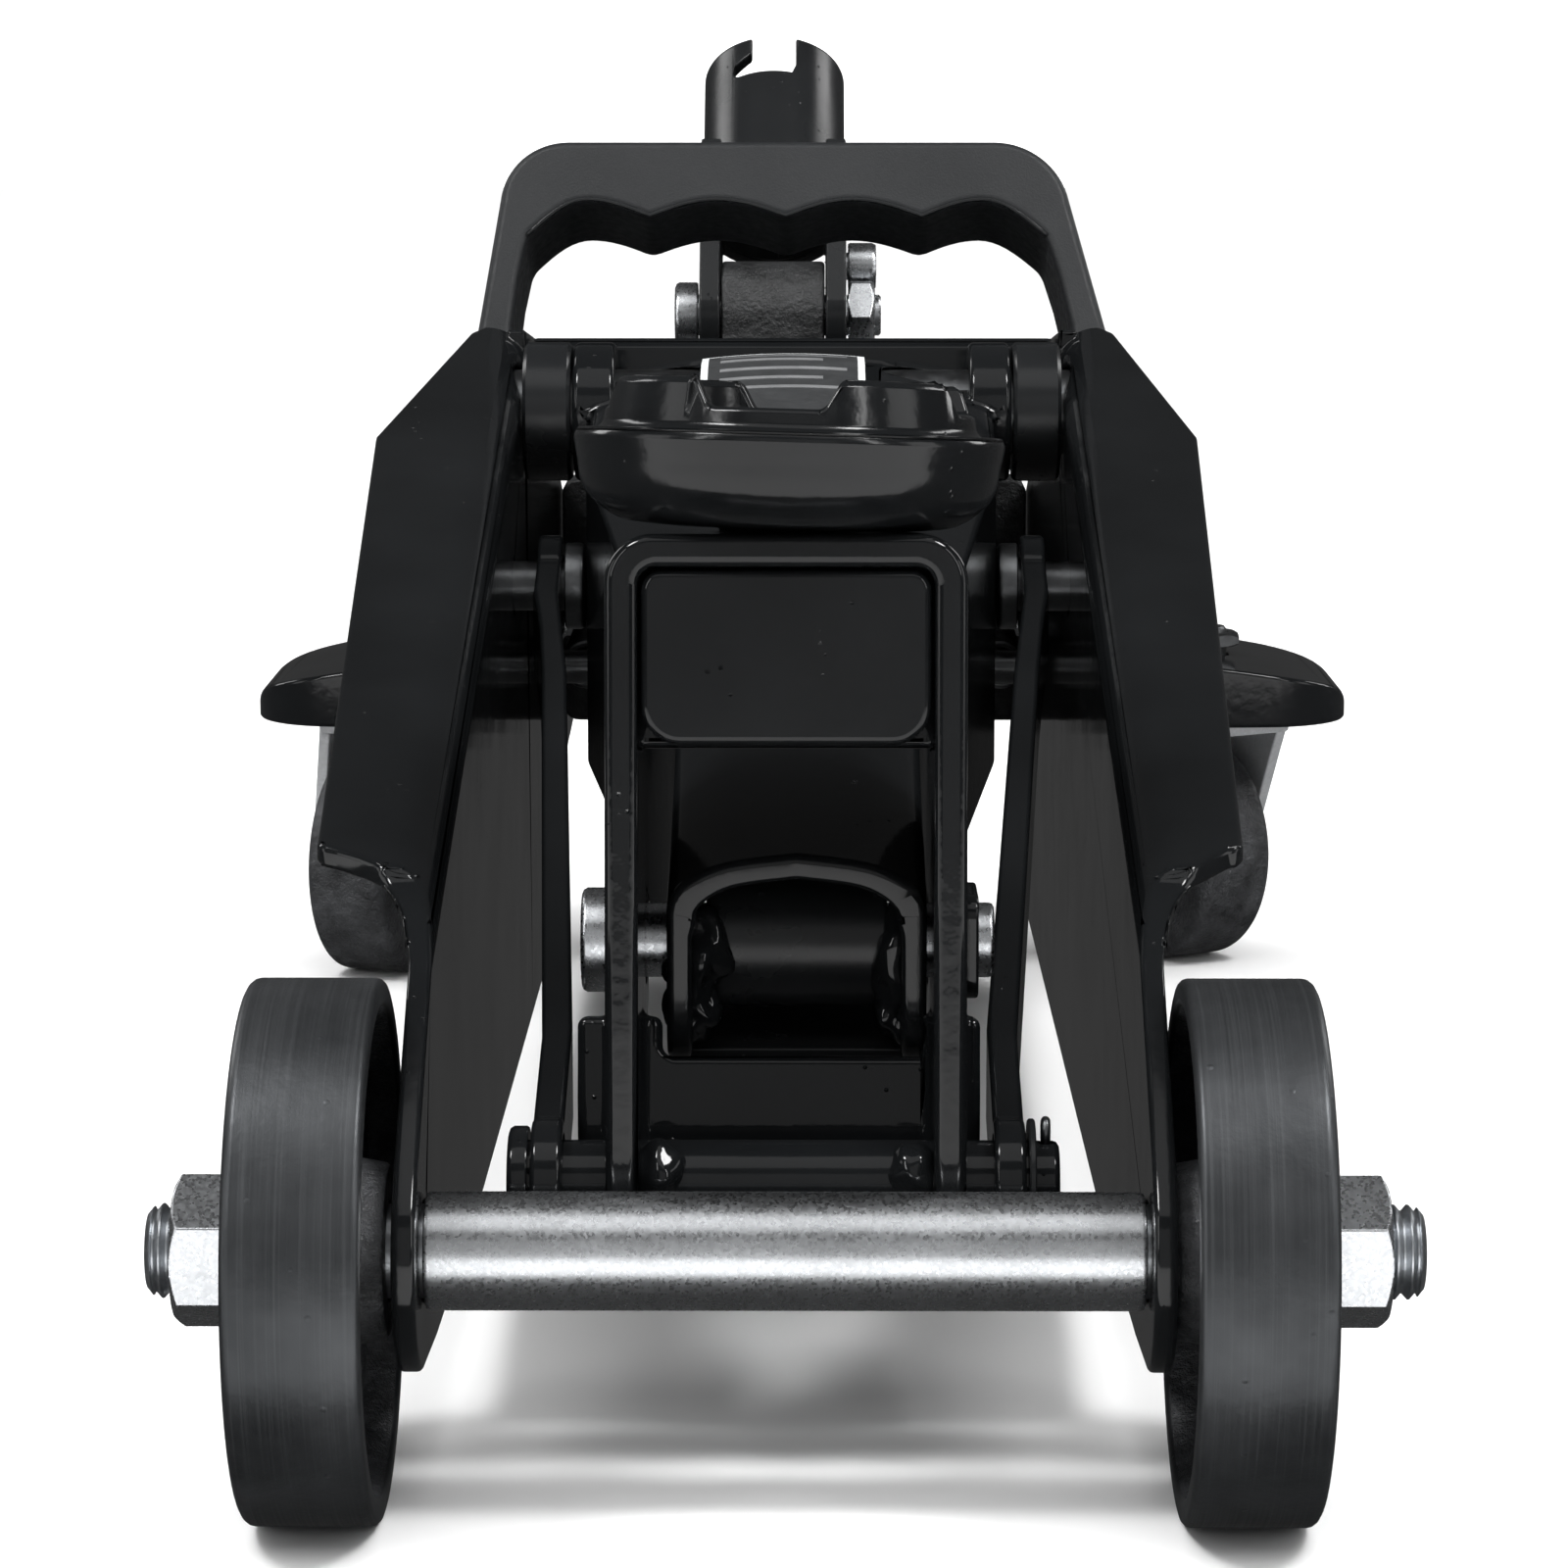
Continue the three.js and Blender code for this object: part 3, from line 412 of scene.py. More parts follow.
# ------------------------------------------------------------------ materials
class Nodes:
    def __init__(self, name, colour, roughness, metallic=0.0, specular=0.5, coat=0.0, coat_rough=0.05):
        self.m = bpy.data.materials.new(name)
        self.m.use_nodes = True
        self.t = self.m.node_tree
        self.b = next(n for n in self.t.nodes if n.type == "BSDF_PRINCIPLED")
        self.b.inputs["Base Color"].default_value = (*colour, 1)
        self.b.inputs["Roughness"].default_value = roughness
        self.b.inputs["Metallic"].default_value = metallic
        self.b.inputs["Specular IOR Level"].default_value = specular
        self.b.inputs["Coat Weight"].default_value = coat
        self.b.inputs["Coat Roughness"].default_value = coat_rough
        self.m.diffuse_color = (*colour, 1)
        self.coord = self.t.nodes.new("ShaderNodeTexCoord")
        self.height = None

    def new(self, kind, **values):
        n = self.t.nodes.new(kind)
        for k, v in values.items():
            if k in n.inputs:
                n.inputs[k].default_value = v
            else:
                setattr(n, k, v)
        return n

    def link(self, a, b):
        self.t.links.new(a, b)

    def space(self, scale=(1, 1, 1), rotation=(0, 0, 0)):
        m = self.new("ShaderNodeMapping")
        m.inputs["Scale"].default_value = scale
        m.inputs["Rotation"].default_value = rotation
        self.link(self.coord.outputs["Object"], m.inputs["Vector"])
        return m.outputs["Vector"]

    def noise(self, scale, detail=3.0, rough=0.5, stretch=(1, 1, 1)):
        n = self.new("ShaderNodeTexNoise", Scale=scale, Detail=detail, Roughness=rough)
        self.link(self.space(stretch), n.inputs["Vector"])
        return n.outputs["Fac"]

    def voronoi(self, scale, feature="F1", stretch=(1, 1, 1), out="Distance"):
        n = self.new("ShaderNodeTexVoronoi", Scale=scale)
        n.feature = feature
        self.link(self.space(stretch), n.inputs["Vector"])
        return n.outputs[out]

    def ramp(self, fac, stops):
        r = self.new("ShaderNodeValToRGB")
        e = r.color_ramp.elements
        while len(e) < len(stops):
            e.new(0.5)
        for i, (p, c) in enumerate(stops):
            e[i].position = p
            e[i].color = (*c, 1) if len(c) == 3 else c
        self.link(fac, r.inputs["Fac"])
        return r.outputs["Color"]

    def span(self, fac, a0, a1, b0, b1):
        r = self.new("ShaderNodeMapRange")
        for k, v in zip(("From Min", "From Max", "To Min", "To Max"), (a0, a1, b0, b1)):
            r.inputs[k].default_value = v
        self.link(fac, r.inputs["Value"])
        return r.outputs["Result"]

    def mix(self, fac, a, b):
        n = self.new("ShaderNodeMix")
        n.data_type = "RGBA"
        for sock, val in ((n.inputs[0], fac), (n.inputs[6], a), (n.inputs[7], b)):
            if hasattr(val, "links"):
                self.link(val, sock)
            else:
                sock.default_value = val if isinstance(val, (int, float)) else (*val, 1)
        return n.outputs[2]

    def bump(self, fac, strength, distance):
        n = self.new("ShaderNodeBump", Strength=strength, Distance=distance)
        self.link(fac, n.inputs["Height"])
        if self.height:
            self.link(self.height, n.inputs["Normal"])
        self.height = n.outputs["Normal"]
        self.link(self.height, self.b.inputs["Normal"])

    def colour(self, out):
        self.link(out, self.b.inputs["Base Color"])

    def rough(self, out):
        self.link(out, self.b.inputs["Roughness"])


def paint(name, wave=0.9, specks=0.8, colour=(0.0045, 0.0049, 0.0053), rough=(0.07, 0.16)):
    n = Nodes(name, colour, 0.12, 0.0, 0.29)
    patches = n.noise(26, 3, 0.55)
    n.colour(n.ramp(patches, [(0.25, [c * 0.75 for c in colour]), (0.8, [c * 1.5 for c in colour])]))
    n.rough(n.span(n.noise(55, 4, 0.6), 0.25, 0.8, rough[0], rough[1]))
    n.bump(n.noise(38, 2, 0.4), 0.085 * wave, 0.0016)  # slow runs in the thick coat
    n.bump(n.noise(420, 2, 0.5), 0.05 * wave, 0.0004)  # orange peel
    dots = n.voronoi(430)
    pick = n.noise(70, 1, 0.5)
    lump = n.new("ShaderNodeMath", operation="MULTIPLY")
    n.link(n.span(dots, 0.0, 0.13, 1.0, 0.0), lump.inputs[0])
    n.link(n.span(pick, 0.56, 0.64, 0.0, 1.0), lump.inputs[1])
    n.bump(lump.outputs[0], specks, 0.0006)
    return n.m


def zinc(name, colour=(0.60, 0.615, 0.635), rough=(0.24, 0.36), grain=2600, metallic=1.0):
    n = Nodes(name, colour, 0.3, metallic)
    cells = n.voronoi(grain, out="Color")
    sep = n.new("ShaderNodeSeparateColor")
    n.link(cells, sep.inputs[0])
    broad = n.noise(75, 4, 0.6)
    specks = n.noise(grain * 0.55, 3, 0.7)
    c = n.mix(n.span(broad, 0.3, 0.7, 0.0, 1.0), [k * 0.86 for k in colour], [min(1, k * 1.06) for k in colour])
    c = n.mix(n.span(sep.outputs[0], 0.0, 1.0, 0.0, 0.28), c, [k * 0.55 for k in colour])
    c = n.mix(n.span(specks, 0.62, 0.76, 0.0, 0.4), c, (0.32, 0.36, 0.42))
    n.colour(c)
    n.rough(n.span(sep.outputs[1], 0, 1, rough[0], rough[1]))
    n.bump(specks, 0.035, 0.0002)
    n.bump(broad, 0.05, 0.0006)
    return n.m


def iron_tread(name):
    n = Nodes(name, (0.045, 0.047, 0.05), 0.4, 0.75, 0.5)
    lines = n.noise(1, 5, 0.65, (2600, 14, 14))
    worn = n.noise(34, 4, 0.6)
    tone = n.mix(n.span(worn, 0.3, 0.7, 0.0, 1.0), (0.026, 0.028, 0.030), (0.070, 0.073, 0.077))
    n.colour(n.mix(n.span(lines, 0.5, 0.8, 0.0, 0.3), tone, (0.11, 0.115, 0.12)))
    n.rough(n.span(lines, 0.3, 0.7, 0.30, 0.48))
    n.bump(lines, 0.07, 0.0003)
    n.bump(n.noise(700, 3, 0.6), 0.16, 0.0003)
    n.bump(n.span(n.voronoi(210), 0.0, 0.10, 1.0, 0.0), 0.25, 0.0004)
    return n.m


def rough_cast(name, colour=(0.028, 0.029, 0.031)):
    n = Nodes(name, colour, 0.5, 0.3, 0.5)
    n.colour(n.ramp(n.noise(160, 4, 0.7), [(0.3, [c * 0.6 for c in colour]), (0.75, [c * 2.2 for c in colour])]))
    n.rough(n.span(n.noise(300, 3, 0.6), 0.3, 0.7, 0.28, 0.62))
    n.bump(n.noise(260, 5, 0.7), 0.75, 0.0014)
    n.bump(n.noise(900, 3, 0.7), 0.35, 0.0005)
    return n.m


def plastic(name):
    n = Nodes(name, (0.010, 0.011, 0.012), 0.46, 0.0, 0.36)
    n.colour(n.ramp(n.noise(45, 3, 0.5), [(0.3, (0.0075, 0.0083, 0.0092)), (0.75, (0.0125, 0.0134, 0.0145))]))
    n.rough(n.span(n.noise(700, 2, 0.5), 0.3, 0.7, 0.42, 0.6))
    n.bump(n.noise(2600, 2, 0.6), 0.22, 0.00025)
    n.bump(n.noise(60, 2, 0.4), 0.10, 0.0008)
    return n.m


def steel(name, colour=(0.16, 0.165, 0.17), rough=(0.28, 0.45), metallic=1.0):
    n = Nodes(name, colour, 0.35, metallic)
    n.colour(n.mix(n.span(n.noise(120, 4, 0.6), 0.3, 0.7, 0.0, 1.0), [c * 0.7 for c in colour], [c * 1.25 for c in colour]))
    n.rough(n.span(n.noise(400, 3, 0.6), 0.3, 0.7, *rough))
    n.bump(n.noise(700, 3, 0.6), 0.12, 0.0003)
    return n.m


PAINT = paint("black_paint")
PAINT_THICK = paint("black_paint_thick", 1.5, 0.6, rough=(0.04, 0.09))
PAINT_CUP = paint("black_paint_cup", 2.4, 1.0, rough=(0.13, 0.22))
PAINT_SATIN = paint("black_paint_satin", 0.8, 0.7, (0.007, 0.0075, 0.008), (0.2, 0.32))
ZINC = zinc("zinc_plate")
ZINC_DULL = zinc("zinc_dull", (0.52, 0.54, 0.565), (0.28, 0.42))
ZINC_SATIN = zinc("zinc_satin", (0.50, 0.51, 0.525), (0.34, 0.5), 2000, 0.45)
TREAD = iron_tread("iron_tread")
CAST = rough_cast("iron_cast")
BLOCK = rough_cast("block_cast", (0.016, 0.0165, 0.017))
PLASTIC = plastic("black_plastic")
STEEL = steel("dark_steel")
CHROME = steel("hard_chrome", (0.72, 0.73, 0.75), (0.06, 0.14))

# ------------------------------------------------------------------ side plates
SLOPE, WEB_IN, WEB_OUT, SHEET = 0.28, 45.0, 48.0, 3.0


def side_plate(front_x, rear_x, wing_x, king_dx):
    B, i = 6.6, 3.6
    section = [(WEB_IN, -125)] + arc(WEB_IN + B, -B, B, 180, 90, 10) + [(72, 0), (72, -SHEET)] + arc(WEB_IN + B, -B, i, 90, 180, 6) + [(WEB_OUT, -125)]
    L = plate_y(section, -20, 238)
    shear = Matrix.Identity(4)
    shear[2][1], shear[2][3] = SLOPE, 78 - SLOPE * 35
    L.transform(shear)
    front = arc(0, 34, 15, 145, 270, 20) + [(20, 17.5), (95, 15), (237, 15), (237, 160), (29, 160), (29, 74)] + smooth_line([(32.5, 78), (31, 75.6), (28, 73.6), (19, 68.6), (6, 58.4), (-8, 47)], 5)[1:]
    front = [q for q in front if q not in ((29, 160), (29, 74))]
    front.insert(front.index((237, 160)) + 1, (32.5, 160))
    plan = [(40, -20), (48.4, -20), (48.4, 18)] + smooth_line([(48.4, 18), (49.2, 24), (51.2, 29.4), (54.6, 33.6), (front_x - 2.2, 37.0)], 5)[1:]
    plan += [(front_x - 0.7, 37.6), (front_x, 39.0)] + rounded([(rear_x - 3, 100), (rear_x, 186), (54.5, 234), (50, 240)], [0, 3, 3, 0], 6)[1:] + [(40, 240)]
    forward = common(L, plate_x(front, 40, 80), plate_z(plan, 0, 160))
    rear = rounded([(234, 15), (330, 15), (348, 42), (398, 46), (398, 80), (330, 104), (285, 121), (262, 131.2), (234, 134.1)], [0, 10, 8, 4, 10, 20, 20, 10, 0], 8)
    f = (wing_x - 60) / 47.0
    sx = lambda pts: [((60 + (x - 60) * f) if x > 60 else x, v) for x, v in pts]
    top = [(46, 40), (107, 40)] + smooth_line([(107, 53.4), (105.4, 57.0), (99, 59.6), (84, 62.2), (60, 64.9), (46, 66.4)], 6)
    under = [(46, 30), (104, 30)] + smooth_line([(104, 52.8), (102.6, 54.8), (98, 56.5), (84, 59.2), (60, 61.9), (46, 63.3)], 6)
    outer = rounded([(46.5, 337), (107, 341), (107, 392), (46.5, 398)], [0, 17, 17, 0], 10)
    inner = rounded([(40, 339.5), (104, 344), (104, 389), (40, 395.5)], [0, 14, 14, 0], 10)
    tray = cut(common(plate_y(sx(top), 330, 402), plate_z(sx(outer), 50.8, 90)), common(plate_y(sx(under), 320, 410), plate_z(sx(inner), 20, 90)))
    tray = cut(tray, box(30, WEB_OUT - 0.5, 300, 420, 30, 100))
    me = join(forward, plate_x(rear, WEB_IN, WEB_OUT), tray)
    return cut(
        me, rod(6.3, 30, 60, at_x(0, 34)), rod(7.4, 30, 60, at_x(*P0)), rod(4.4, 30, 60, at_x(*P2)), rod(3.4, 30, 60, at_x(262, 121)),
        rod(4.5, 30, 60, at_x(345, RAM_Z)), rod(4.5, 40, 90, at_z(80 + king_dx, 366)))


piece("side_plate_right_skin", side_plate(59.8, 64.9, 108.2, 1.6), "frame", ["side_plate_right"], PAINT, 0.75, 3)
piece("side_plate_left_skin", mirror_x(side_plate(61.6, 66.4, 105.2, -1.6)), "frame", ["side_plate_left"], PAINT, 0.75, 3)

# ------------------------------------------------------------------ front axle, spacer tube, nuts, wheels
AX = at_x(0, 34)


def threaded(r, a0, a1, pitch=1.75, depth=0.75, plain=None):
    prof = [(0, a0), (r - 1.2, a0), (r - 0.35, a0 + 0.7)]
    a = a0 + 0.9
    while a < a1 - 1.0:
        prof += [(r - depth, a), (r - depth, a + pitch * 0.12), (r, a + pitch * 0.5), (r, a + pitch * 0.62)]
        a += pitch
    prof += [(r - 0.35, a1 - 0.7), (r - 1.2, a1), (0, a1)]
    return prof


def axle():
    left = threaded(5.9, -79.3, -60)
    right = [(r, -a) for r, a in reversed(left)]
    return lathe(left[:-3] + [(5.9, -59), (5.9, 59)] + right[3:], 96, AX)


piece("front_axle_rod", axle(), "frame", ["front_axle"], ZINC_DULL)
T = 44.7
piece("axle_tube", lathe([(6.25, -T), (6.9, -T), (7.25, -T + 0.15), (7.4, -T + 0.6), (7.4, T - 0.6), (7.25, T - 0.15), (6.9, T), (6.25, T)], 128, AX),
      "frame", ["axle_spacer_tube"], ZINC)


def hex_nut(af, a0, a1, bore, place, turn=math.pi / 6):
    R = af / 2 / math.cos(math.pi / 6)
    hexa = rod(R, a0, a1, place, 6, turn)
    cone = lathe([(0, a0), (R - 1.1, a0), (R + 0.15, a0 + 0.75), (R + 0.15, a1 - 1.05), (R - 1.6, a1), (0, a1)], 72, place)
    return cut(common(hexa, cone), lathe([(0, a0 - 1), (bore + 0.9, a0 - 1), (bore + 0.9, a0), (bore, a0 + 0.9), (bore, a1 - 0.9), (bore + 0.9, a1), (bore + 0.9, a1 + 1), (0, a1 + 1)], 48, place))


WR, WI, WO = 34.0, 49.6, 66.2


def wheel():
    prof = [(30.4, WI + 0.5), (31.0, WI + 0.05), (31.6, WI), (33.0, WI)] + [(33.0 + math.sin(rad(t)), WI + 1 - math.cos(rad(t))) for t in (30, 60, 90)]
    prof += [(WR, 58)] + [(32.6 + 1.4 * math.cos(rad(t)), WO - 1.4 + 1.4 * math.sin(rad(t))) for t in (0, 25, 50, 75, 90)]
    prof += [(31.4, WO), (30.9, WO - 0.4), (29.7, 63.4), (29.0, 62.6), (27.6, 62.2), (14, 61.7), (12.4, 62.0), (11.6, 63), (11.2, 65.6), (10.8, WO), (6.4, WO)]
    prof += [(6.4, 48.8), (10.6, 48.8), (11.0, 49.2), (11.8, 53.6), (12.6, 54.5), (14, 54.8), (27.4, 54.3), (28.8, 53.9), (29.4, 53.0)]
    return lathe(prof, 192, AX)


for side, k in (("left", -1), ("right", 1)):
    flip = (lambda me: mirror_x(me)) if k < 0 else (lambda me: me)
    shift = Matrix.Translation((-0.5, 0, 0))
    w = piece("wheel_" + side, moved(flip(wheel()), shift), "front_wheel_" + side, ["front_wheel_" + side], [TREAD, CAST])
    for p in w.data.polygons:
        r = math.hypot((p.center.y * 1000 + ORIGIN_Y), p.center.z * 1000 - 34)
        if r < 30.6:
            p.material_index = 1
    piece("nut_" + side, moved(flip(hex_nut(17, 66.6, 75.4, 6.15, AX)), shift), "frame", ["axle_nut_" + side], ZINC, 0.22, 2)

# ------------------------------------------------------------------ lift arm
SLOPE_ARM = (P0[1] - P1[1]) / (P0[0] - P1[0])


def arm_loop(st, wall, roof, floor):
    y, x0, half, x1, d1, x2, d2, d3, rise = st
    z = P1[1] + SLOPE_ARM * (y - P1[0]) + rise - roof
    h, a, b = half - wall, x1 - wall * 0.2, x2 - wall * 0.6
    top = smooth_line([(0, 0), (a, d1), (b, d2), (h - 0.5, d3 - 2.2), (h, d3)], 5)
    right = [(x, z - d) for x, d in reversed(top)]
    left = [(-x, z - d) for x, d in top[1:]]
    return [(x + x0, y, v) for x, v in [(-h, floor), (h, floor)] + right + left]


STATIONS = [
    (30, 1.3, 17.1, 9, 1.2, 14.6, 3.6, 8, 18), (84, 1.3, 17.1, 9, 1.0, 14.6, 3.0, 7, 17.2), (118, 0.8, 21.4, 10, 0.9, 17.2, 3.0, 7.4, 15.4),
    (190, 0, 33, 14, 0.8, 25, 2.6, 7, 10.5), (225, 0, 33, 15, 0.6, 26, 2, 6, 8.3), (285, 0, 33, 15, 0.6, 26, 2, 6, -9.6)]


def lift_arm():
    outer = loft([arm_loop(s, 0, 0, 0) for s in STATIONS])
    inner = loft([arm_loop(s, 4 if s[0] > 150 else 3.4, 3.4, -20) for s in STATIONS])
    beam = plate_x(rounded([(38.6, 49.0), (36.4, 60), (37.4, 95), (120, 160), (236, 160), (237, 128), (238, 112), (231, 88), (214, 74), (190, 66), (120, 56)],
                           [5, 0, 0, 0, 0, 0, 4, 10, 14, 14, 20], 8), -40, 40)
    lever = plate_x(strap(P0, 15, RAM_PIN, 16, 20), -40, 40)
    shell = common(cut(outer, inner), join(beam, lever))
    me = join(shell, rod(11.6, 29.4, 36.4, at_x(*P0)), rod(11.6, -36.4, -29.4, at_x(*P0)))
    return cut(me, rod(7.4, -60, 60, at_x(*P0)), rod(5.4, -60, 60, at_x(*P1)), rod(5.3, -60, 60, at_x(*RAM_PIN)))


piece("arm_pressing", lift_arm(), "arm", ["lift_arm"], PAINT, 1.05, 4)
floor_plate = plate_x([(44, 47.9), (46, 47.4), (84, 51.0), (84, 54.0), (46, 50.6), (44, 50.5)], -14.6, 17.0)
piece("arm_floor_plate", floor_plate, "arm", None, PAINT_SATIN, 0.4, 2)
piece("arm_tube", cut(round_rod(9, -10.7, 13.3, at_x(*P1), 0.6, 96), rod(5.3, -30, 30, at_x(*P1))), "arm", ["arm_cross_tube"], PAINT_SATIN)
for tag, x, s in (("left", -10.6, 1), ("right", 13.2, 2)):
    piece("arm_weld_" + tag, blob((x - (1.2 if s == 1 else -1.0), 43.6, 63.0 - s * 0.4), (4.4 if s == 1 else 3.7, 5.6, 7.6 - s * 0.3), 3 + s, 0.42), "arm", None, PAINT_THICK, soft=True)
    piece("arm_weld_low_" + tag, blob((x - (1.8 if s == 1 else -1.4), 43.4, 56.2), (3.6 if s == 1 else 3.1, 4.6, 4.6), 9 + s, 0.4), "arm", None, PAINT_THICK, soft=True)
pin = lathe([(0, -27.4), (6.2, -27.4), (6.7, -27.2), (7, -26.7), (7, -23.5), (6.8, -23.4), (5, -23.4), (5, 27.0), (4.8, 27.4), (4.4, 27.6), (0, 27.6)], 72, at_x(*P1))
piece("arm_pin_zinc", pin, "arm", ["arm_pin"], ZINC)
clip = cut(plate_x(rounded([(42.5, 57), (57.5, 57), (57.5, 71), (42.5, 71)], 3, 6), 23.4, 25.4), rod(5.3, 20, 30, at_x(*P1)))
piece("arm_pin_plate", clip, "arm", ["arm_pin_clip"], PAINT, 0.4, 2)
piece("ram_cross_pin", round_rod(5, -34.2, 34.2, at_x(*RAM_PIN), 0.8), "arm", ["ram_pin"], STEEL)
piece("arm_pivot_rod", round_rod(7, -47.7, 47.7, at_x(*P0), 0.9), "frame", ["arm_pivot_pin"], STEEL)
for side, k in (("left", -1), ("right", 1)):
    ring = lathe([(7.35, 36.8), (11.0, 36.8), (11.6, 37.4), (11.6, 44.1), (11.0, 44.7), (7.35, 44.7)], 72, at_x(*P0))
    piece("pivot_spacer_" + side, ring if k > 0 else mirror_x(ring), "frame", ["arm_pivot_spacer_" + side], PAINT_SATIN)

# label plate on the arm's roof: a white frame round a dark field with plain grey rules, no lettering


def roof_z(y):
    za = lambda q, r: P1[1] + SLOPE_ARM * (q - P1[0]) + r
    if y < 190:
        t = (y - 118) / 72
        return za(118, 15.4) * (1 - t) + za(190, 10.5) * t
    if y < 225:
        t = (y - 190) / 35
        return za(190, 10.5) * (1 - t) + za(225, 8.3) * t
    t = (y - 225) / 60
    return za(225, 8.3) * (1 - t) + za(285, -9.6) * t


def roof_drop(x):
    x = abs(x)
    return 0.8 * (x / 14.0) ** 2


def roof_patch(x0, x1, y0, y1, lift, thick, nx=16, ny=14):
    verts, faces = [], []
    for layer in (0, 1):
        for j in range(ny + 1):
            for i in range(nx + 1):
                x, y = x0 + (x1 - x0) * i / nx, y0 + (y1 - y0) * j / ny
                verts.append((x, y, roof_z(y) - roof_drop(x) + lift - thick * layer))
    row, lay = nx + 1, (nx + 1) * (ny + 1)
    for j in range(ny):
        for i in range(nx):
            a = j * row + i
            faces.append([a, a + 1, a + row + 1, a + row])
            faces.append([lay + a, lay + a + row, lay + a + row + 1, lay + a + 1])
    for i in range(nx):
        faces.append([i, i + 1, lay + i + 1, lay + i])
        b = ny * row + i
        faces.append([b, b + 1, lay + b + 1, lay + b])
    for j in range(ny):
        a, b = j * row, j * row + nx
        faces.append([a, a + row, lay + a + row, lay + a])
        faces.append([b, b + row, lay + b + row, lay + b])
    return mesh_of(verts, faces)


def flat_mat(name, colour, rough, lo=0.85, hi=1.12):
    n = Nodes(name, colour, rough, 0.0, 0.45)
    n.colour(n.ramp(n.noise(220, 3, 0.5), [(0.3, [c * lo for c in colour]), (0.7, [min(1, c * hi) for c in colour])]))
    n.rough(n.span(n.noise(500, 2, 0.5), 0.3, 0.7, rough * 0.85, rough * 1.15))
    n.bump(n.noise(900, 2, 0.5), 0.05, 0.0002)
    return n.m


LABEL_WHITE = flat_mat("label_white", (0.55, 0.56, 0.56), 0.5)
LABEL_DARK = flat_mat("label_field", (0.022, 0.023, 0.024), 0.55)
LABEL_GREY = flat_mat("label_rule", (0.12, 0.122, 0.125), 0.5)
lx0, lx1, ly0, ly1 = -15.2, 12.2, 196.5, 234.6
piece("label_frame", roof_patch(lx0, lx1, ly0, ly1, 0.55, 0.5), "arm", None, LABEL_WHITE)
piece("label_field", roof_patch(lx0 + 1.2, lx1 - 1.2, ly0 + 1.6, ly1 - 1.8, 0.66, 0.2), "arm", None, LABEL_DARK)
for q, y in enumerate((229.0, 224.2, 219.6, 215.0, 210.4)):
    piece("label_rule_%d" % q, roof_patch(lx0 + 3.2, lx1 - (3.0 + 4.0 * (q % 2)), y, y + 1.3, 0.72, 0.12, 12, 2), "arm", None, LABEL_GREY)

# ------------------------------------------------------------------ saddle bracket, in its own leaned frame
BF = Matrix.Translation((0, P3[0], P3[1])) @ Matrix.Rotation(rad(-5), 4, "X")
H, BT, TOP = 23.0, 4.2, 83.3
tilt = rad(5)
dy, dz = P1[0] - P3[0], P1[1] - P3[1]
Q1 = (dy * math.cos(tilt) - dz * math.sin(tilt), dy * math.sin(tilt) + dz * math.cos(tilt))


def bracket():
    outer = rounded([(-H, -20), (H, -20), (H, TOP), (-H, TOP)], [0, 0, 6.2, 6.2], 12)
    inner = rounded([(-H + BT, -30), (H - BT, -30), (H - BT, TOP - BT), (-H + BT, TOP - BT)], [0, 0, 2.4, 2.4], 8)
    side = arc(0, 0, 7.6, 180, 290, 16) + [(Q1[0] + 8, Q1[1] - 10)] + arc(Q1[0], Q1[1], 12.5, -45, 40, 12) + [(33, 62), (33, 95), (-7.6, 95)]
    shell = common(cut(plate_y(outer, -30, 60), plate_y(inner, -40, 70)), plate_x(side, -40, 40))
    back = plate_x([(10.6, -3), (14.3, -3), (13.4, 14.6), (10.9, 14.9), (9.6, 6)], -27.3, 25.3)
    back = join(back, box(-27.3, -16.2, 10.9, 13.3, 8, 20), box(18.7, 25.3, 10.9, 13.3, 8, 20))
    behind = plate_y(rounded([(-18.9, 56.0), (18.9, 56.0), (18.9, 79.2), (-18.9, 79.2)], [1, 1, 2.2, 2.2], 6), -3.4, -1.6)
    return cut(join(shell, back, behind), rod(5.75, -60, 60, at_x(0, 0)), rod(5.35, -60, 60, at_x(*Q1)), rod(9.3, 60, 100, at_z(0, 10.7)))


piece("bracket_pressing", bracket(), "bracket", ["saddle_bracket"], PAINT_THICK, 1.35, 5, BF)
panel = plate_y(rounded([(-18.4, 56.6), (18.4, 56.6), (18.4, 78.7), (-18.4, 78.7)], [5, 5, 2.6, 2.6], 10), -6.8, -3.6)
piece("bracket_panel", panel, "bracket", ["bracket_front_panel"], PAINT, 1.1, 5, BF)
shaft = cut(lathe([(0, -35.6), (6.3, -35.6), (6.9, -35.4), (7.2, -34.9), (7.2, -33.3), (7.0, -33.0), (5.4, -33.0), (5.4, 34.2), (5.2, 34.7), (4.7, 35), (0, 35)], 72, at_x(0, 0)),
            rod(1.7, -10, 10, at_z(33.3, 0), 24))
piece("lower_shaft_rod", shaft, "bracket", ["lower_shaft"], PAINT, matrix=BF)
piece("shaft_ring", lathe([(5.7, 31.0), (8.0, 31.0), (8.2, 31.2), (8.2, 31.7), (8.0, 31.9), (5.7, 31.9)], 64, at_x(0, 0)), "bracket", ["shaft_washer"], PAINT_SATIN, matrix=BF)
cot = [Vector((33.3, 0.1, z)) for z in (-9.0, -6, -3, 0, 3, 5.2)]
cot += [Vector((33.3, 0.1 + 1.25 * math.sin(rad(t)), 6.6 - 1.35 * math.cos(rad(t)))) for t in range(20, 341, 16)]
cot += [Vector((33.3, -0.35, z)) for z in (5.2, 3, 0, -3, -6)] + [Vector((33.3, -1.2, -7.8)), Vector((33.3, -2.6, -8.9))]
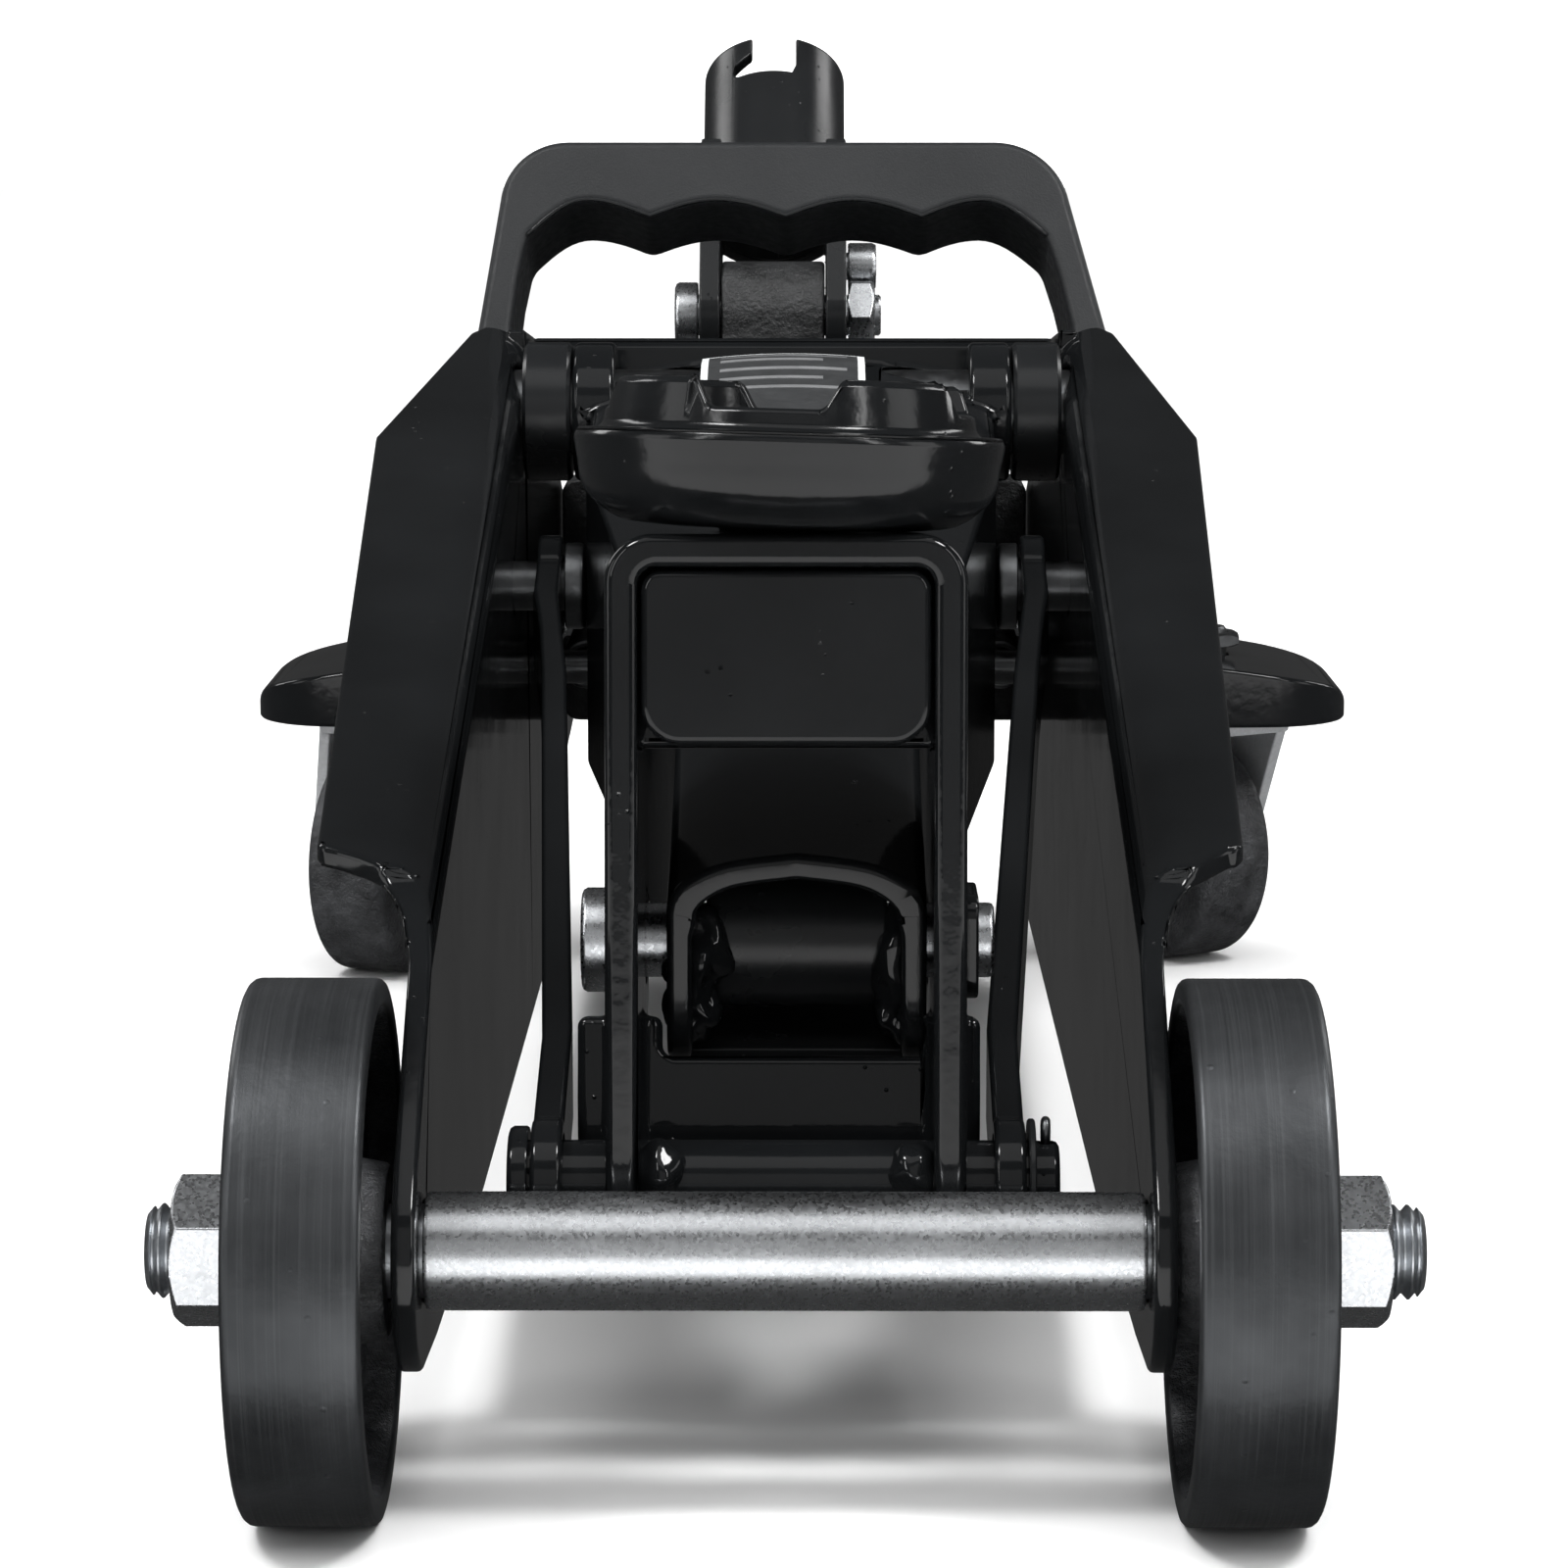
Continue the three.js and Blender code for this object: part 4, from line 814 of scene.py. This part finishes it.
piece("cotter_wire", tube([Vector((p.x, p.y * 0.9, p.z)) for p in cot], 0.62, 12), "bracket", ["cotter_pin"], STEEL, matrix=BF)
for tag, x, s in (("left", -16.2, 1), ("right", 16.4, 2)):
    piece("shaft_weld_" + tag, blob((x, -3.0, 1.0), (3.6, 4.0, 4.6), 20 + s, 0.2), "bracket", None, PAINT_THICK, matrix=BF, soft=True)

# ------------------------------------------------------------------ saddle
SF = BF @ Matrix.Translation((0, 10.7, TOP)) @ Matrix.Rotation(rad(1.7), 4, "Y")


def saddle():
    prof = [(0, -13), (8.3, -13), (8.7, -12.6), (8.7, -9.5), (7.5, -9.5), (7.5, -6.8), (8.7, -6.8), (8.7, 0.45), (15, 0.45)]
    prof += smooth_line([(18.6, 0.7), (21.6, 1.2), (24.2, 2.6), (26.2, 4.6), (27.0, 6.4), (27.4, 8.8), (27.9, 11.4)], 5)
    prof += [(27.8, 12.4), (27.2, 12.9), (25.0, 12.9), (24.3, 13.2), (23.3, 18.6), (22.9, 19.3), (22.3, 19.5), (20.8, 19.5), (20.3, 19.3), (20.0, 18.7), (19.5, 10.2), (19.1, 9.6), (18.6, 9.4), (0, 9.4)]
    body = lathe(prof, 160)
    notch = plate_y(rounded([(-11.6, 26), (-8.9, 18.9), (-7.3, 15.7), (7.3, 15.7), (8.9, 18.9), (11.6, 26)], [0, 1.5, 1.6, 1.6, 1.5, 0], 8), -40, 40)
    return cut(body, moved(notch, Matrix.Rotation(rad(-7.5), 4, "Z")), moved(notch, Matrix.Rotation(rad(82.5), 4, "Z")))


piece("saddle_cup", saddle(), "saddle", ["saddle"], PAINT_CUP, 0.7, 4, SF)
ring = cut(lathe([(7.85, -9.0), (11.8, -9.0), (12.2, -8.6), (12.2, -7.7), (11.8, -7.3), (7.85, -7.3)], 64), box(-3, 3, 4, 20, -20, 0))
piece("saddle_ring", ring, "saddle", ["saddle_retaining_ring"], STEEL, 0.2, 2, SF)

# ------------------------------------------------------------------ radius links and their bolts
for side, k, x in (("left", -1, 28.6), ("right", 1, 26.6)):
    t = 4.0
    plan = [(x, 0), (x + t, 0), (x + t, 44)] + smooth_line([(x + t, 44), (38.2, 150), (41, 178)], 4)[1:] + [(41, 215), (37, 215), (37, 178), (34.4, 151), (x, 46)]
    bar = plate_x(strap(P3, 6.4, P2, 6.4, 20), 10, 60)
    eyes = join(bar, rod(8.2, 10, 60, at_x(*P3)), rod(8.2, 10, 60, at_x(*P2)))
    link = cut(common(plate_z(plan, 0, 140), eyes), rod(5.8, 10, 60, at_x(*P3)), rod(4.5, 10, 60, at_x(*P2)))
    piece("link_" + side, link if k > 0 else mirror_x(link), "links", ["radius_link_" + side], PAINT, 0.75, 4)
    bolt = join(lathe([(0, 33.4), (6.2, 33.4), (6.8, 33.7), (7, 34.2), (7, 36.4), (6.8, 36.6), (4, 36.6), (4, 48.4), (0, 48.4)], 64, at_x(*P2)),
                hex_nut(12.4, 48.3, 52.0, 3.0, at_x(*P2)), lathe([(0, 40), (3.6, 40), (3.6, 52.4), (3.2, 52.8), (0, 52.8)], 48, at_x(*P2)))
    piece("link_bolt_" + side, bolt if k > 0 else mirror_x(bolt), "frame", ["link_pivot_bolt_" + side], STEEL)

# ------------------------------------------------------------------ hydraulic unit
PX, (py, pz) = SOCKET_X, SOCKET_PIVOT
lug = plate_x(arc(py, pz, 10.5, -10, 190, 28) + [(354.5, 95), (375.5, 95)], PX - 10.1, PX + 10.1)
blk = plate_x(rounded([(338, 49), (392, 52), (395, 60), (395, 96), (388, 100), (338, 100)], [5, 6, 0, 0, 4, 8], 8), -32.4, 32.4)
ears = plate_y(rounded([(-44.7, 52), (44.7, 52), (44.7, 99), (-44.7, 99)], 3, 5), 341.5, 353)
blk = cut(join(blk, ears, lug), rod(13.2, 300, 366, at_y(0, RAM_Z)), rod(5.8, 66, 120, at_z(PX, 383)), rod(4.4, -40, 40, at_x(py, pz)),
          rod(5.3, 382, 420, at_y(18, 78)), rod(4.2, 92, 120, at_z(22, 352)))
piece("pump_block", blk, "frame", ["power_unit_block"], BLOCK, 0.8, 4)
CY = at_y(0, RAM_Z)
piece("reservoir", lathe([(25.6, 294.3), (27.4, 294.3), (28, 294.9), (28, 337.1), (27.4, 337.7), (25.6, 337.7)], 128, CY), "frame", ["reservoir_tube"], PAINT)
piece("cylinder", lathe([(13.2, 294.3), (17.5, 294.3), (17.5, 337.7), (13.2, 337.7)], 96, CY), "frame", ["cylinder_tube"], STEEL)
piece("gland", lathe([(12.8, 289.6), (19, 289.6), (19.4, 290.2), (20.4, 290.2), (20.8, 289.6), (27.2, 289.6), (28, 290.4), (28, 293.4), (27.4, 294.0), (12.8, 294.0)], 128, CY), "frame", ["cylinder_gland"], PAINT)
piece("oil_plug", join(rod(3.9, 94, 101, at_z(22, 352), 40), hex_nut(10.4, 100.3, 104.5, 0.01, at_z(22, 352))), "frame", ["filler_plug"], ZINC, 0.15, 2)
tongue = plate_x(rounded([(240.6, 54.5), (270, 54.5), (286, 60), (286, 81), (270, 86.5), (240.6, 86.5)], [7, 4, 0, 0, 4, 7], 8), -10, 10)
slot_cut = plate_x(rounded([(RAM_PIN[0] - 6.3, 59.8), (RAM_PIN[0] + 6.3, 59.8), (RAM_PIN[0] + 6.3, 81.4), (RAM_PIN[0] - 6.3, 81.4)], 6.2, 12), -20, 20)
piece("ram_rod", cut(join(tongue, rod(12.3, 284, 362, CY, 96)), slot_cut, rod(3.4, -20, 20, at_x(280.5, RAM_Z))), "ram", ["ram"], CHROME, 0.6, 3)
piece("spring_bar", round_rod(3.0, -42.4, 42.4, at_x(280.5, RAM_Z), 0.6, 40), "ram", ["spring_anchor_bar"], STEEL)
for side, k in (("left", -1), ("right", 1)):
    stud = lathe([(0, 26.6), (3.6, 26.6), (4, 27), (4, 47.3), (3.5, 47.8), (0, 47.8)], 48, at_x(345, RAM_Z))
    piece("unit_stud_" + side, stud if k > 0 else mirror_x(stud), "frame", ["power_unit_stud_" + side], ZINC)
    spring = moved(coil(3.8, 0.72, 24, 56), Matrix.Translation((37.6 * k, 284.4, RAM_Z)) @ Matrix.Rotation(rad(-90), 4, "X"))
    y0, y1 = (285.5 - ORIGIN_Y) / 1000, (339.5 - ORIGIN_Y) / 1000
    piece("spring_" + side, spring, "frame", ["return_spring_" + side], STEEL,
          blend=(("ram", "frame"), (0.0376 * k, y0, RAM_Z / 1000), (0.0376 * k, y1, RAM_Z / 1000)))
piece("plunger", lathe([(0, 68), (4.6, 68), (5, 68.5), (5, 108.6), (7.3, 108.6), (7.6, 108.9), (7.6, 111.1), (7.3, 111.4), (5, 112.2), (4.7, 113.2), (4.2, 113.5), (0, 113.5)], 72, at_z(PX, 383)), "pump", ["pump_plunger"], CHROME)
pspring = moved(coil(6.5, 0.8, 4, 7.6, 0.9), Matrix.Translation((PX, 383, 100.6)))
yy = (383 - ORIGIN_Y) / 1000
piece("plunger_spring", pspring, "frame", ["pump_spring"], STEEL, blend=(("frame", "pump"), (PX / 1000, yy, 0.1010), (PX / 1000, yy, 0.1079)))
valve = join(rod(4.9, 384, 400, at_y(18, 78)), round_rod(6.5, 395.5, 403, at_y(18, 78), 0.8, 64), round_rod(2.2, 7, 29, at_x(400.4, 78), 0.5, 32))
piece("valve_screw", valve, "release_valve", ["release_valve"], ZINC, 0.2, 2)

# ------------------------------------------------------------------ cover between the plates
cover = smooth_line([(250.0, 131.2), (256, 130.9), (300.6, 125), (346.3, 110.8)], 8)
under_c = smooth_line([(345.5, 108.4), (300, 122.4), (258, 127.9), (250.6, 128.6)], 8)
piece("cover_sheet", plate_x([(247.6, 122), (250.2, 122)] + list(reversed(under_c)) + list(reversed(cover)) + [(248.2, 130.4)], -44.6, 44.6), "frame", ["top_cover"], PAINT, 0.6, 3)

# ------------------------------------------------------------------ carry handle
lean, DEPTH = rad(22), 21.5
outer_x = lambda v: 54.9 - 0.14 * max(v, 0)
shift_v = lambda v: -2 * max(v, 0) / 37
scallops, cusps = [], [-45.2, -23.7, 0, 23.7, 45.2]
for i in range(4):
    a, b = cusps[i], cusps[i + 1]
    for q in range(1 if i else 0, 19):
        t = q / 18
        end = (i == 0 and t < 0.5) or (i == 3 and t > 0.5)
        low = 19.0 if end else 22.6
        scallops.append((a + (b - a) * t, low + (25.6 - low) * math.sin(math.pi * t)))
R12 = 12.5
outline = [(-outer_x(0), -17), (-48.4, -17), (-48.4, 3), (-46.9, 12)] + scallops + [(46.9, 12), (48.4, 3), (48.4, -17), (outer_x(0), -17), (outer_x(0), 0)]
outline += arc(outer_x(37) - R12, 37 - R12, R12, 8, 90, 16) + arc(-outer_x(37) + R12, 37 - R12, R12, 90, 172, 16) + [(-outer_x(0), 0)]
outline = [(x + shift_v(v), v) for x, v in outline]
up, back = Vector((0, math.sin(lean), math.cos(lean))), Vector((0, -math.cos(lean), math.sin(lean)))
base = Vector((0, 252 + DEPTH * math.cos(lean), 131 - DEPTH * math.sin(lean)))
grip = prism(outline, 0, DEPTH, lambda p, a: base + Vector((p[0], 0, 0)) + up * p[1] + back * a)
grip = cut(grip, rod(3.3, -80, 80, at_x(262, 121)))
piece("carry_grip", grip, "frame", ["carry_handle"], PLASTIC, 1.5, 5, split=False)
bead = [base + Vector((x + shift_v(v), 0, 0)) + up * (v + 0.55) + back * (DEPTH - 0.28) for x, v in scallops]
piece("carry_grip_seam", tube(bead, 0.42, 12), "frame", None, PAINT_SATIN, soft=True)
for side, k in (("left", -1), ("right", 1)):
    bolt = lathe([(0, 40.4), (5.0, 40.4), (5.4, 40.8), (5.4, 44.7), (2.9, 44.7), (2.9, 55.2), (5.6, 55.2), (5.5, 56.6), (5.0, 57.8), (4.0, 58.4), (0, 58.5)], 56, at_x(262, 121))
    piece("grip_bolt_" + side, bolt if k > 0 else mirror_x(bolt), "frame", ["carry_handle_bolt_" + side], STEEL)

# ------------------------------------------------------------------ handle socket
HF = Matrix.Translation((SOCKET_X, py, pz)) @ Matrix.Rotation(-rad(90 - ELEV), 4, "X")
LS, SR, SB = 60.4, 14.1, 11.3
la = rad(90 - ELEV)
RY, RZ = 18 * math.cos(la) + 10 * math.sin(la), 18 * math.sin(la) - 10 * math.cos(la)


def socket():
    cheek = arc(0, 0, 11.5, 200, 300, 16) + arc(RY, RZ, 7.5, -70, 60, 12) + [(13.4, 24), (13.4, 34), (-13.4, 34), (-13.4, 22)]
    tube_ = lathe([(SB, 23), (SR, 23), (SR, LS - 0.5), (SR - 0.5, LS), (SB + 0.4, LS), (SB, LS - 0.4)], 128)
    bore = rod(SB, 10, 40, at_z(0, 0), 128)
    me = join(tube_, cut(plate_x(cheek, 10.3, 14.3), bore), cut(plate_x(cheek, -14.3, -10.3), bore))
    sl = rounded([(-4.35, LS + 5), (-4.35, LS - 4.2), (-8.4, LS - 6.6), (-7.6, LS - 9.2), (3.6, LS - 9.2), (4.35, LS - 7), (4.35, LS + 5)], [0, 0.8, 1.2, 1, 0, 0, 0], 5)
    return cut(me, plate_y(sl, -20, -2), rod(4.4, -40, 40, at_x(0, 0)), rod(2.7, -40, 40, at_x(RY, RZ)), rod(3.0, 5, 40, at_x(0, 12.3)))


piece("socket_weldment", socket(), "handle", ["handle_socket"], PAINT_SATIN, 0.45, 3, HF)
piece("lock_screw", lathe([(0, 10.6), (2.7, 10.6), (2.7, 14.7), (4.3, 14.7), (4.6, 15.1), (4.6, 19.4), (4.2, 20.2), (1.7, 20.3), (1.7, 18.6), (0, 18.6)], 48, at_x(0, 12.3)), "handle", ["handle_lock_screw"], ZINC, matrix=HF)
piece("roller", lathe([(2.6, -8), (4.6, -8), (5, -7.6), (5, 7.6), (4.6, 8), (2.6, 8)], 64, at_x(RY, RZ)), "pump_roller", ["pump_roller"], STEEL, matrix=HF)
piece("roller_pin", lathe([(0, -16), (3.2, -16), (3.6, -15.6), (3.6, -14.7), (2.3, -14.7), (2.3, 14.7), (2.0, 15), (0, 15)], 40, at_x(RY, RZ)), "handle", ["pump_roller_pin"], ZINC, matrix=HF)
hb = lathe([(0, -23.4), (5.4, -23.4), (6.1, -23.1), (6.4, -22.5), (6.4, -19.2), (6.2, -18.9), (4, -18.9), (4, 16.5), (3.6, 16.9), (0, 16.9)], 64, at_x(py, pz))
piece("socket_bolt", hb, "frame", ["handle_pivot_bolt"], ZINC)
piece("socket_nut", hex_nut(13, 10.5, 15.7, 4.15, at_x(py, pz), 0), "frame", ["handle_pivot_nut"], ZINC, 0.18, 2)

# ------------------------------------------------------------------ rear casters
for side, k, turn in (("left", -1, -17), ("right", 1, 30)):
    kx = 80 * k + 1.6
    C = Matrix.Translation((kx, 366, 0)) @ Matrix.Rotation(rad(turn), 4, "Z")
    tr = -9.0 if k < 0 else 9.0
    wp = at_x(tr, 22)
    prof = [(8, -8)] + [(19.6 + 2.4 * math.sin(rad(t)), -5.6 - 2.4 * math.cos(rad(t))) for t in (0, 15, 30, 45, 60, 75, 90)]
    prof += [(19.6 + 2.4 * math.cos(rad(t)), 5.6 + 2.4 * math.sin(rad(t))) for t in (0, 15, 30, 45, 60, 75, 90)] + [(8, 8), (8, 9.9), (3.6, 9.9), (3.6, -9.9), (8, -9.9)]
    piece("caster_roller_" + side, lathe(prof, 112, wp), "caster_wheel_" + side, ["caster_wheel_" + side], CAST, matrix=C)
    ck = rounded([(-11, 49.4), (tr - 7.6, 19), (tr - 4, 14.5), (tr + 4, 14.5), (tr + 7.6, 19), (11, 49.4)], [0, 3, 2, 2, 3, 0], 6)
    crown = plate_z(rounded([(-12.8, -13.4), (12.8, -13.4), (12.8, 13.4), (-12.8, 13.4)], 4, 6), 47.2, 49.4)
    boss = lathe([(0, 48), (11.5, 48)] + smooth_line([(11.5, 51.0), (10.8, 52.6), (9.2, 54.2), (8.4, 57.2)], 4) + [(0, 57.2)], 72)
    fork = cut(join(crown, plate_x(ck, 10.4, 12.8), plate_x(ck, -12.8, -10.4), boss), rod(4.5, 40, 70, at_z(0, 0)), rod(3.4, -20, 20, wp))
    piece("fork_" + side, fork, "caster_" + side, ["caster_fork_" + side], ZINC_SATIN, 0.4, 3, C)
    axl = lathe([(0, -14.7), (4.0, -14.7), (4.6, -14.2), (4.6, -13.1), (3.1, -13.1), (3.1, 13.1), (4.6, 13.1), (4.6, 14.2), (4.0, 14.7), (0, 14.7)], 48, wp)
    piece("caster_pin_" + side, axl, "caster_" + side, ["caster_axle_" + side], ZINC, matrix=C)
    king = join(lathe([(0, 45.4), (5.6, 45.4), (6.4, 46.1), (6.4, 46.8), (4.1, 46.8), (4.1, 66.9), (3.6, 67.6), (0, 67.6)], 56, at_z(kx, 366)), hex_nut(12.6, 63.9, 66.6, 4.0, at_z(kx, 366)))
    piece("kingpin_" + side, king, "frame", ["caster_kingpin_" + side], STEEL)

# ------------------------------------------------------------------ floor, light, camera
def stage_mesh(name, me, material, mirrored=False):
    ob = bpy.data.objects.new(name, me)
    bpy.context.scene.collection.objects.link(ob)
    me.materials.append(material)
    ob.visible_glossy = mirrored
    ob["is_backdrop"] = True
    return ob


fm = Nodes("floor_paper", (0.88, 0.88, 0.88), 0.7, 0.0, 0.1)
fm.rough(fm.span(fm.noise(3, 2, 0.5), 0.3, 0.7, 0.65, 0.75))
ring_pts = [(5 * math.cos(2 * math.pi * i / 96), 5 * math.sin(2 * math.pi * i / 96)) for i in range(96)]
split = -0.245
edge = math.sqrt(25 - split * split)
rear_pts = [(x, y) for x, y in ring_pts if y > split + 0.01]
rear_pts = sorted(rear_pts, key=lambda q: math.atan2(q[1] - split, q[0]) )
front_pts = sorted([(x, y) for x, y in ring_pts if y < split - 0.01], key=lambda q: math.atan2(q[1] - split, q[0]))
rear_pts = [(edge, split)] + rear_pts + [(-edge, split)]
front_pts = [(-edge, split)] + front_pts + [(edge, split)]
stage_mesh("floor", mesh_of([(x, y, 0) for x, y in rear_pts], [list(range(len(rear_pts)))]), fm.m)
stage_mesh("floor_front", mesh_of([(x, y, 0) for x, y in front_pts], [list(range(len(front_pts)))]), fm.m, True)
wm = Nodes("backdrop_paper", (0.9, 0.9, 0.9), 0.8, 0.0, 0.1)
wm.b.inputs["Emission Color"].default_value = (1, 1, 1, 1)
wm.b.inputs["Emission Strength"].default_value = 0.9
wall = stage_mesh("backdrop", mesh_of([(x * 0.999, y * 0.999, z) for z in (0, 4) for x, y in ring_pts], [[i, (i + 1) % 96, 96 + (i + 1) % 96, 96 + i] for i in range(96)]), wm.m)
wall.visible_diffuse = False
wall.visible_shadow = False

world = bpy.context.scene.world or bpy.data.worlds.new("world")
bpy.context.scene.world = world
world.use_nodes = True
bg = next(n for n in world.node_tree.nodes if n.type == "BACKGROUND")
bg.inputs[0].default_value = (1, 1, 1, 1)
bg.inputs[1].default_value = 0.055


def light(name, place, target, size, power, colour=(1, 1, 1), gloss=True):
    d = bpy.data.lights.new(name, "AREA")
    d.shape, d.size, d.size_y, d.energy, d.color = "RECTANGLE", size[0], size[1], power, colour
    o = bpy.data.objects.new(name, d)
    o.location = place
    o.rotation_euler = (Vector(target) - Vector(place)).to_track_quat("-Z", "Y").to_euler()
    bpy.context.scene.collection.objects.link(o)
    o.visible_glossy = gloss
    return o


light("top_left", (-0.6, -0.45, 1.15), (0, -0.05, 0.06), (0.26, 0.26), 8.0)
light("top_right", (0.6, -0.45, 1.15), (0, -0.05, 0.06), (0.26, 0.26), 8.0)
light("front", (0.0, -2.3, 0.8), (0, 0, 0.75), (2.4, 1.5), 4.6)
light("rim_left", (-1.3, 0.95, 0.9), (0, 0.1, 0.1), (0.4, 0.8), 5.0)
light("rim_right", (1.3, 0.95, 0.9), (0, 0.1, 0.1), (0.4, 0.8), 5.0)
light("overhead", (0.0, -0.7, 1.5), (0, -0.2, 0.06), (1.5, 1.0), 4.0)
light("strip_left", (-1.15, -1.15, 0.85), (0, -0.1, 0.08), (0.12, 1.0), 4.0)
light("strip_right", (1.15, -1.15, 0.85), (0, -0.1, 0.08), (0.12, 1.0), 4.0)
light("side_left", (-1.6, -0.5, 0.5), (0, 0, 0.06), (0.6, 0.9), 3.0)
light("side_right", (1.6, -0.5, 0.5), (0, 0, 0.06), (0.6, 0.9), 3.0)
wash = bpy.data.lights.new("wash", "SUN")
wash.energy, wash.angle = 3.75, rad(75)
wo = bpy.data.objects.new("wash", wash)
wo.rotation_euler = (rad(12), 0, 0)
bpy.context.scene.collection.objects.link(wo)
wo.visible_glossy = False

cam = bpy.data.cameras.new("camera")
cam.sensor_width, cam.lens, cam.clip_start, cam.clip_end = 36.0, 4925.0 * 36.0 / 1600.0, 0.05, 20
co = bpy.data.objects.new("camera", cam)
co.location = (0.0029, (-585 - ORIGIN_Y) / 1000, 0.1843)
co.rotation_euler = (rad(90 - 8.88), 0, rad(0.30))
bpy.context.scene.collection.objects.link(co)
bpy.context.scene.camera = co
bpy.context.scene.view_settings.view_transform = "Standard"

# the CAD box and the visual model's box, for comparing
flat = lambda b: [list(map(float, v)) if hasattr(v, "__len__") else float(v) for v in b]
{"cad": flat(CAD_BOX), "visual": flat(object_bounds())}
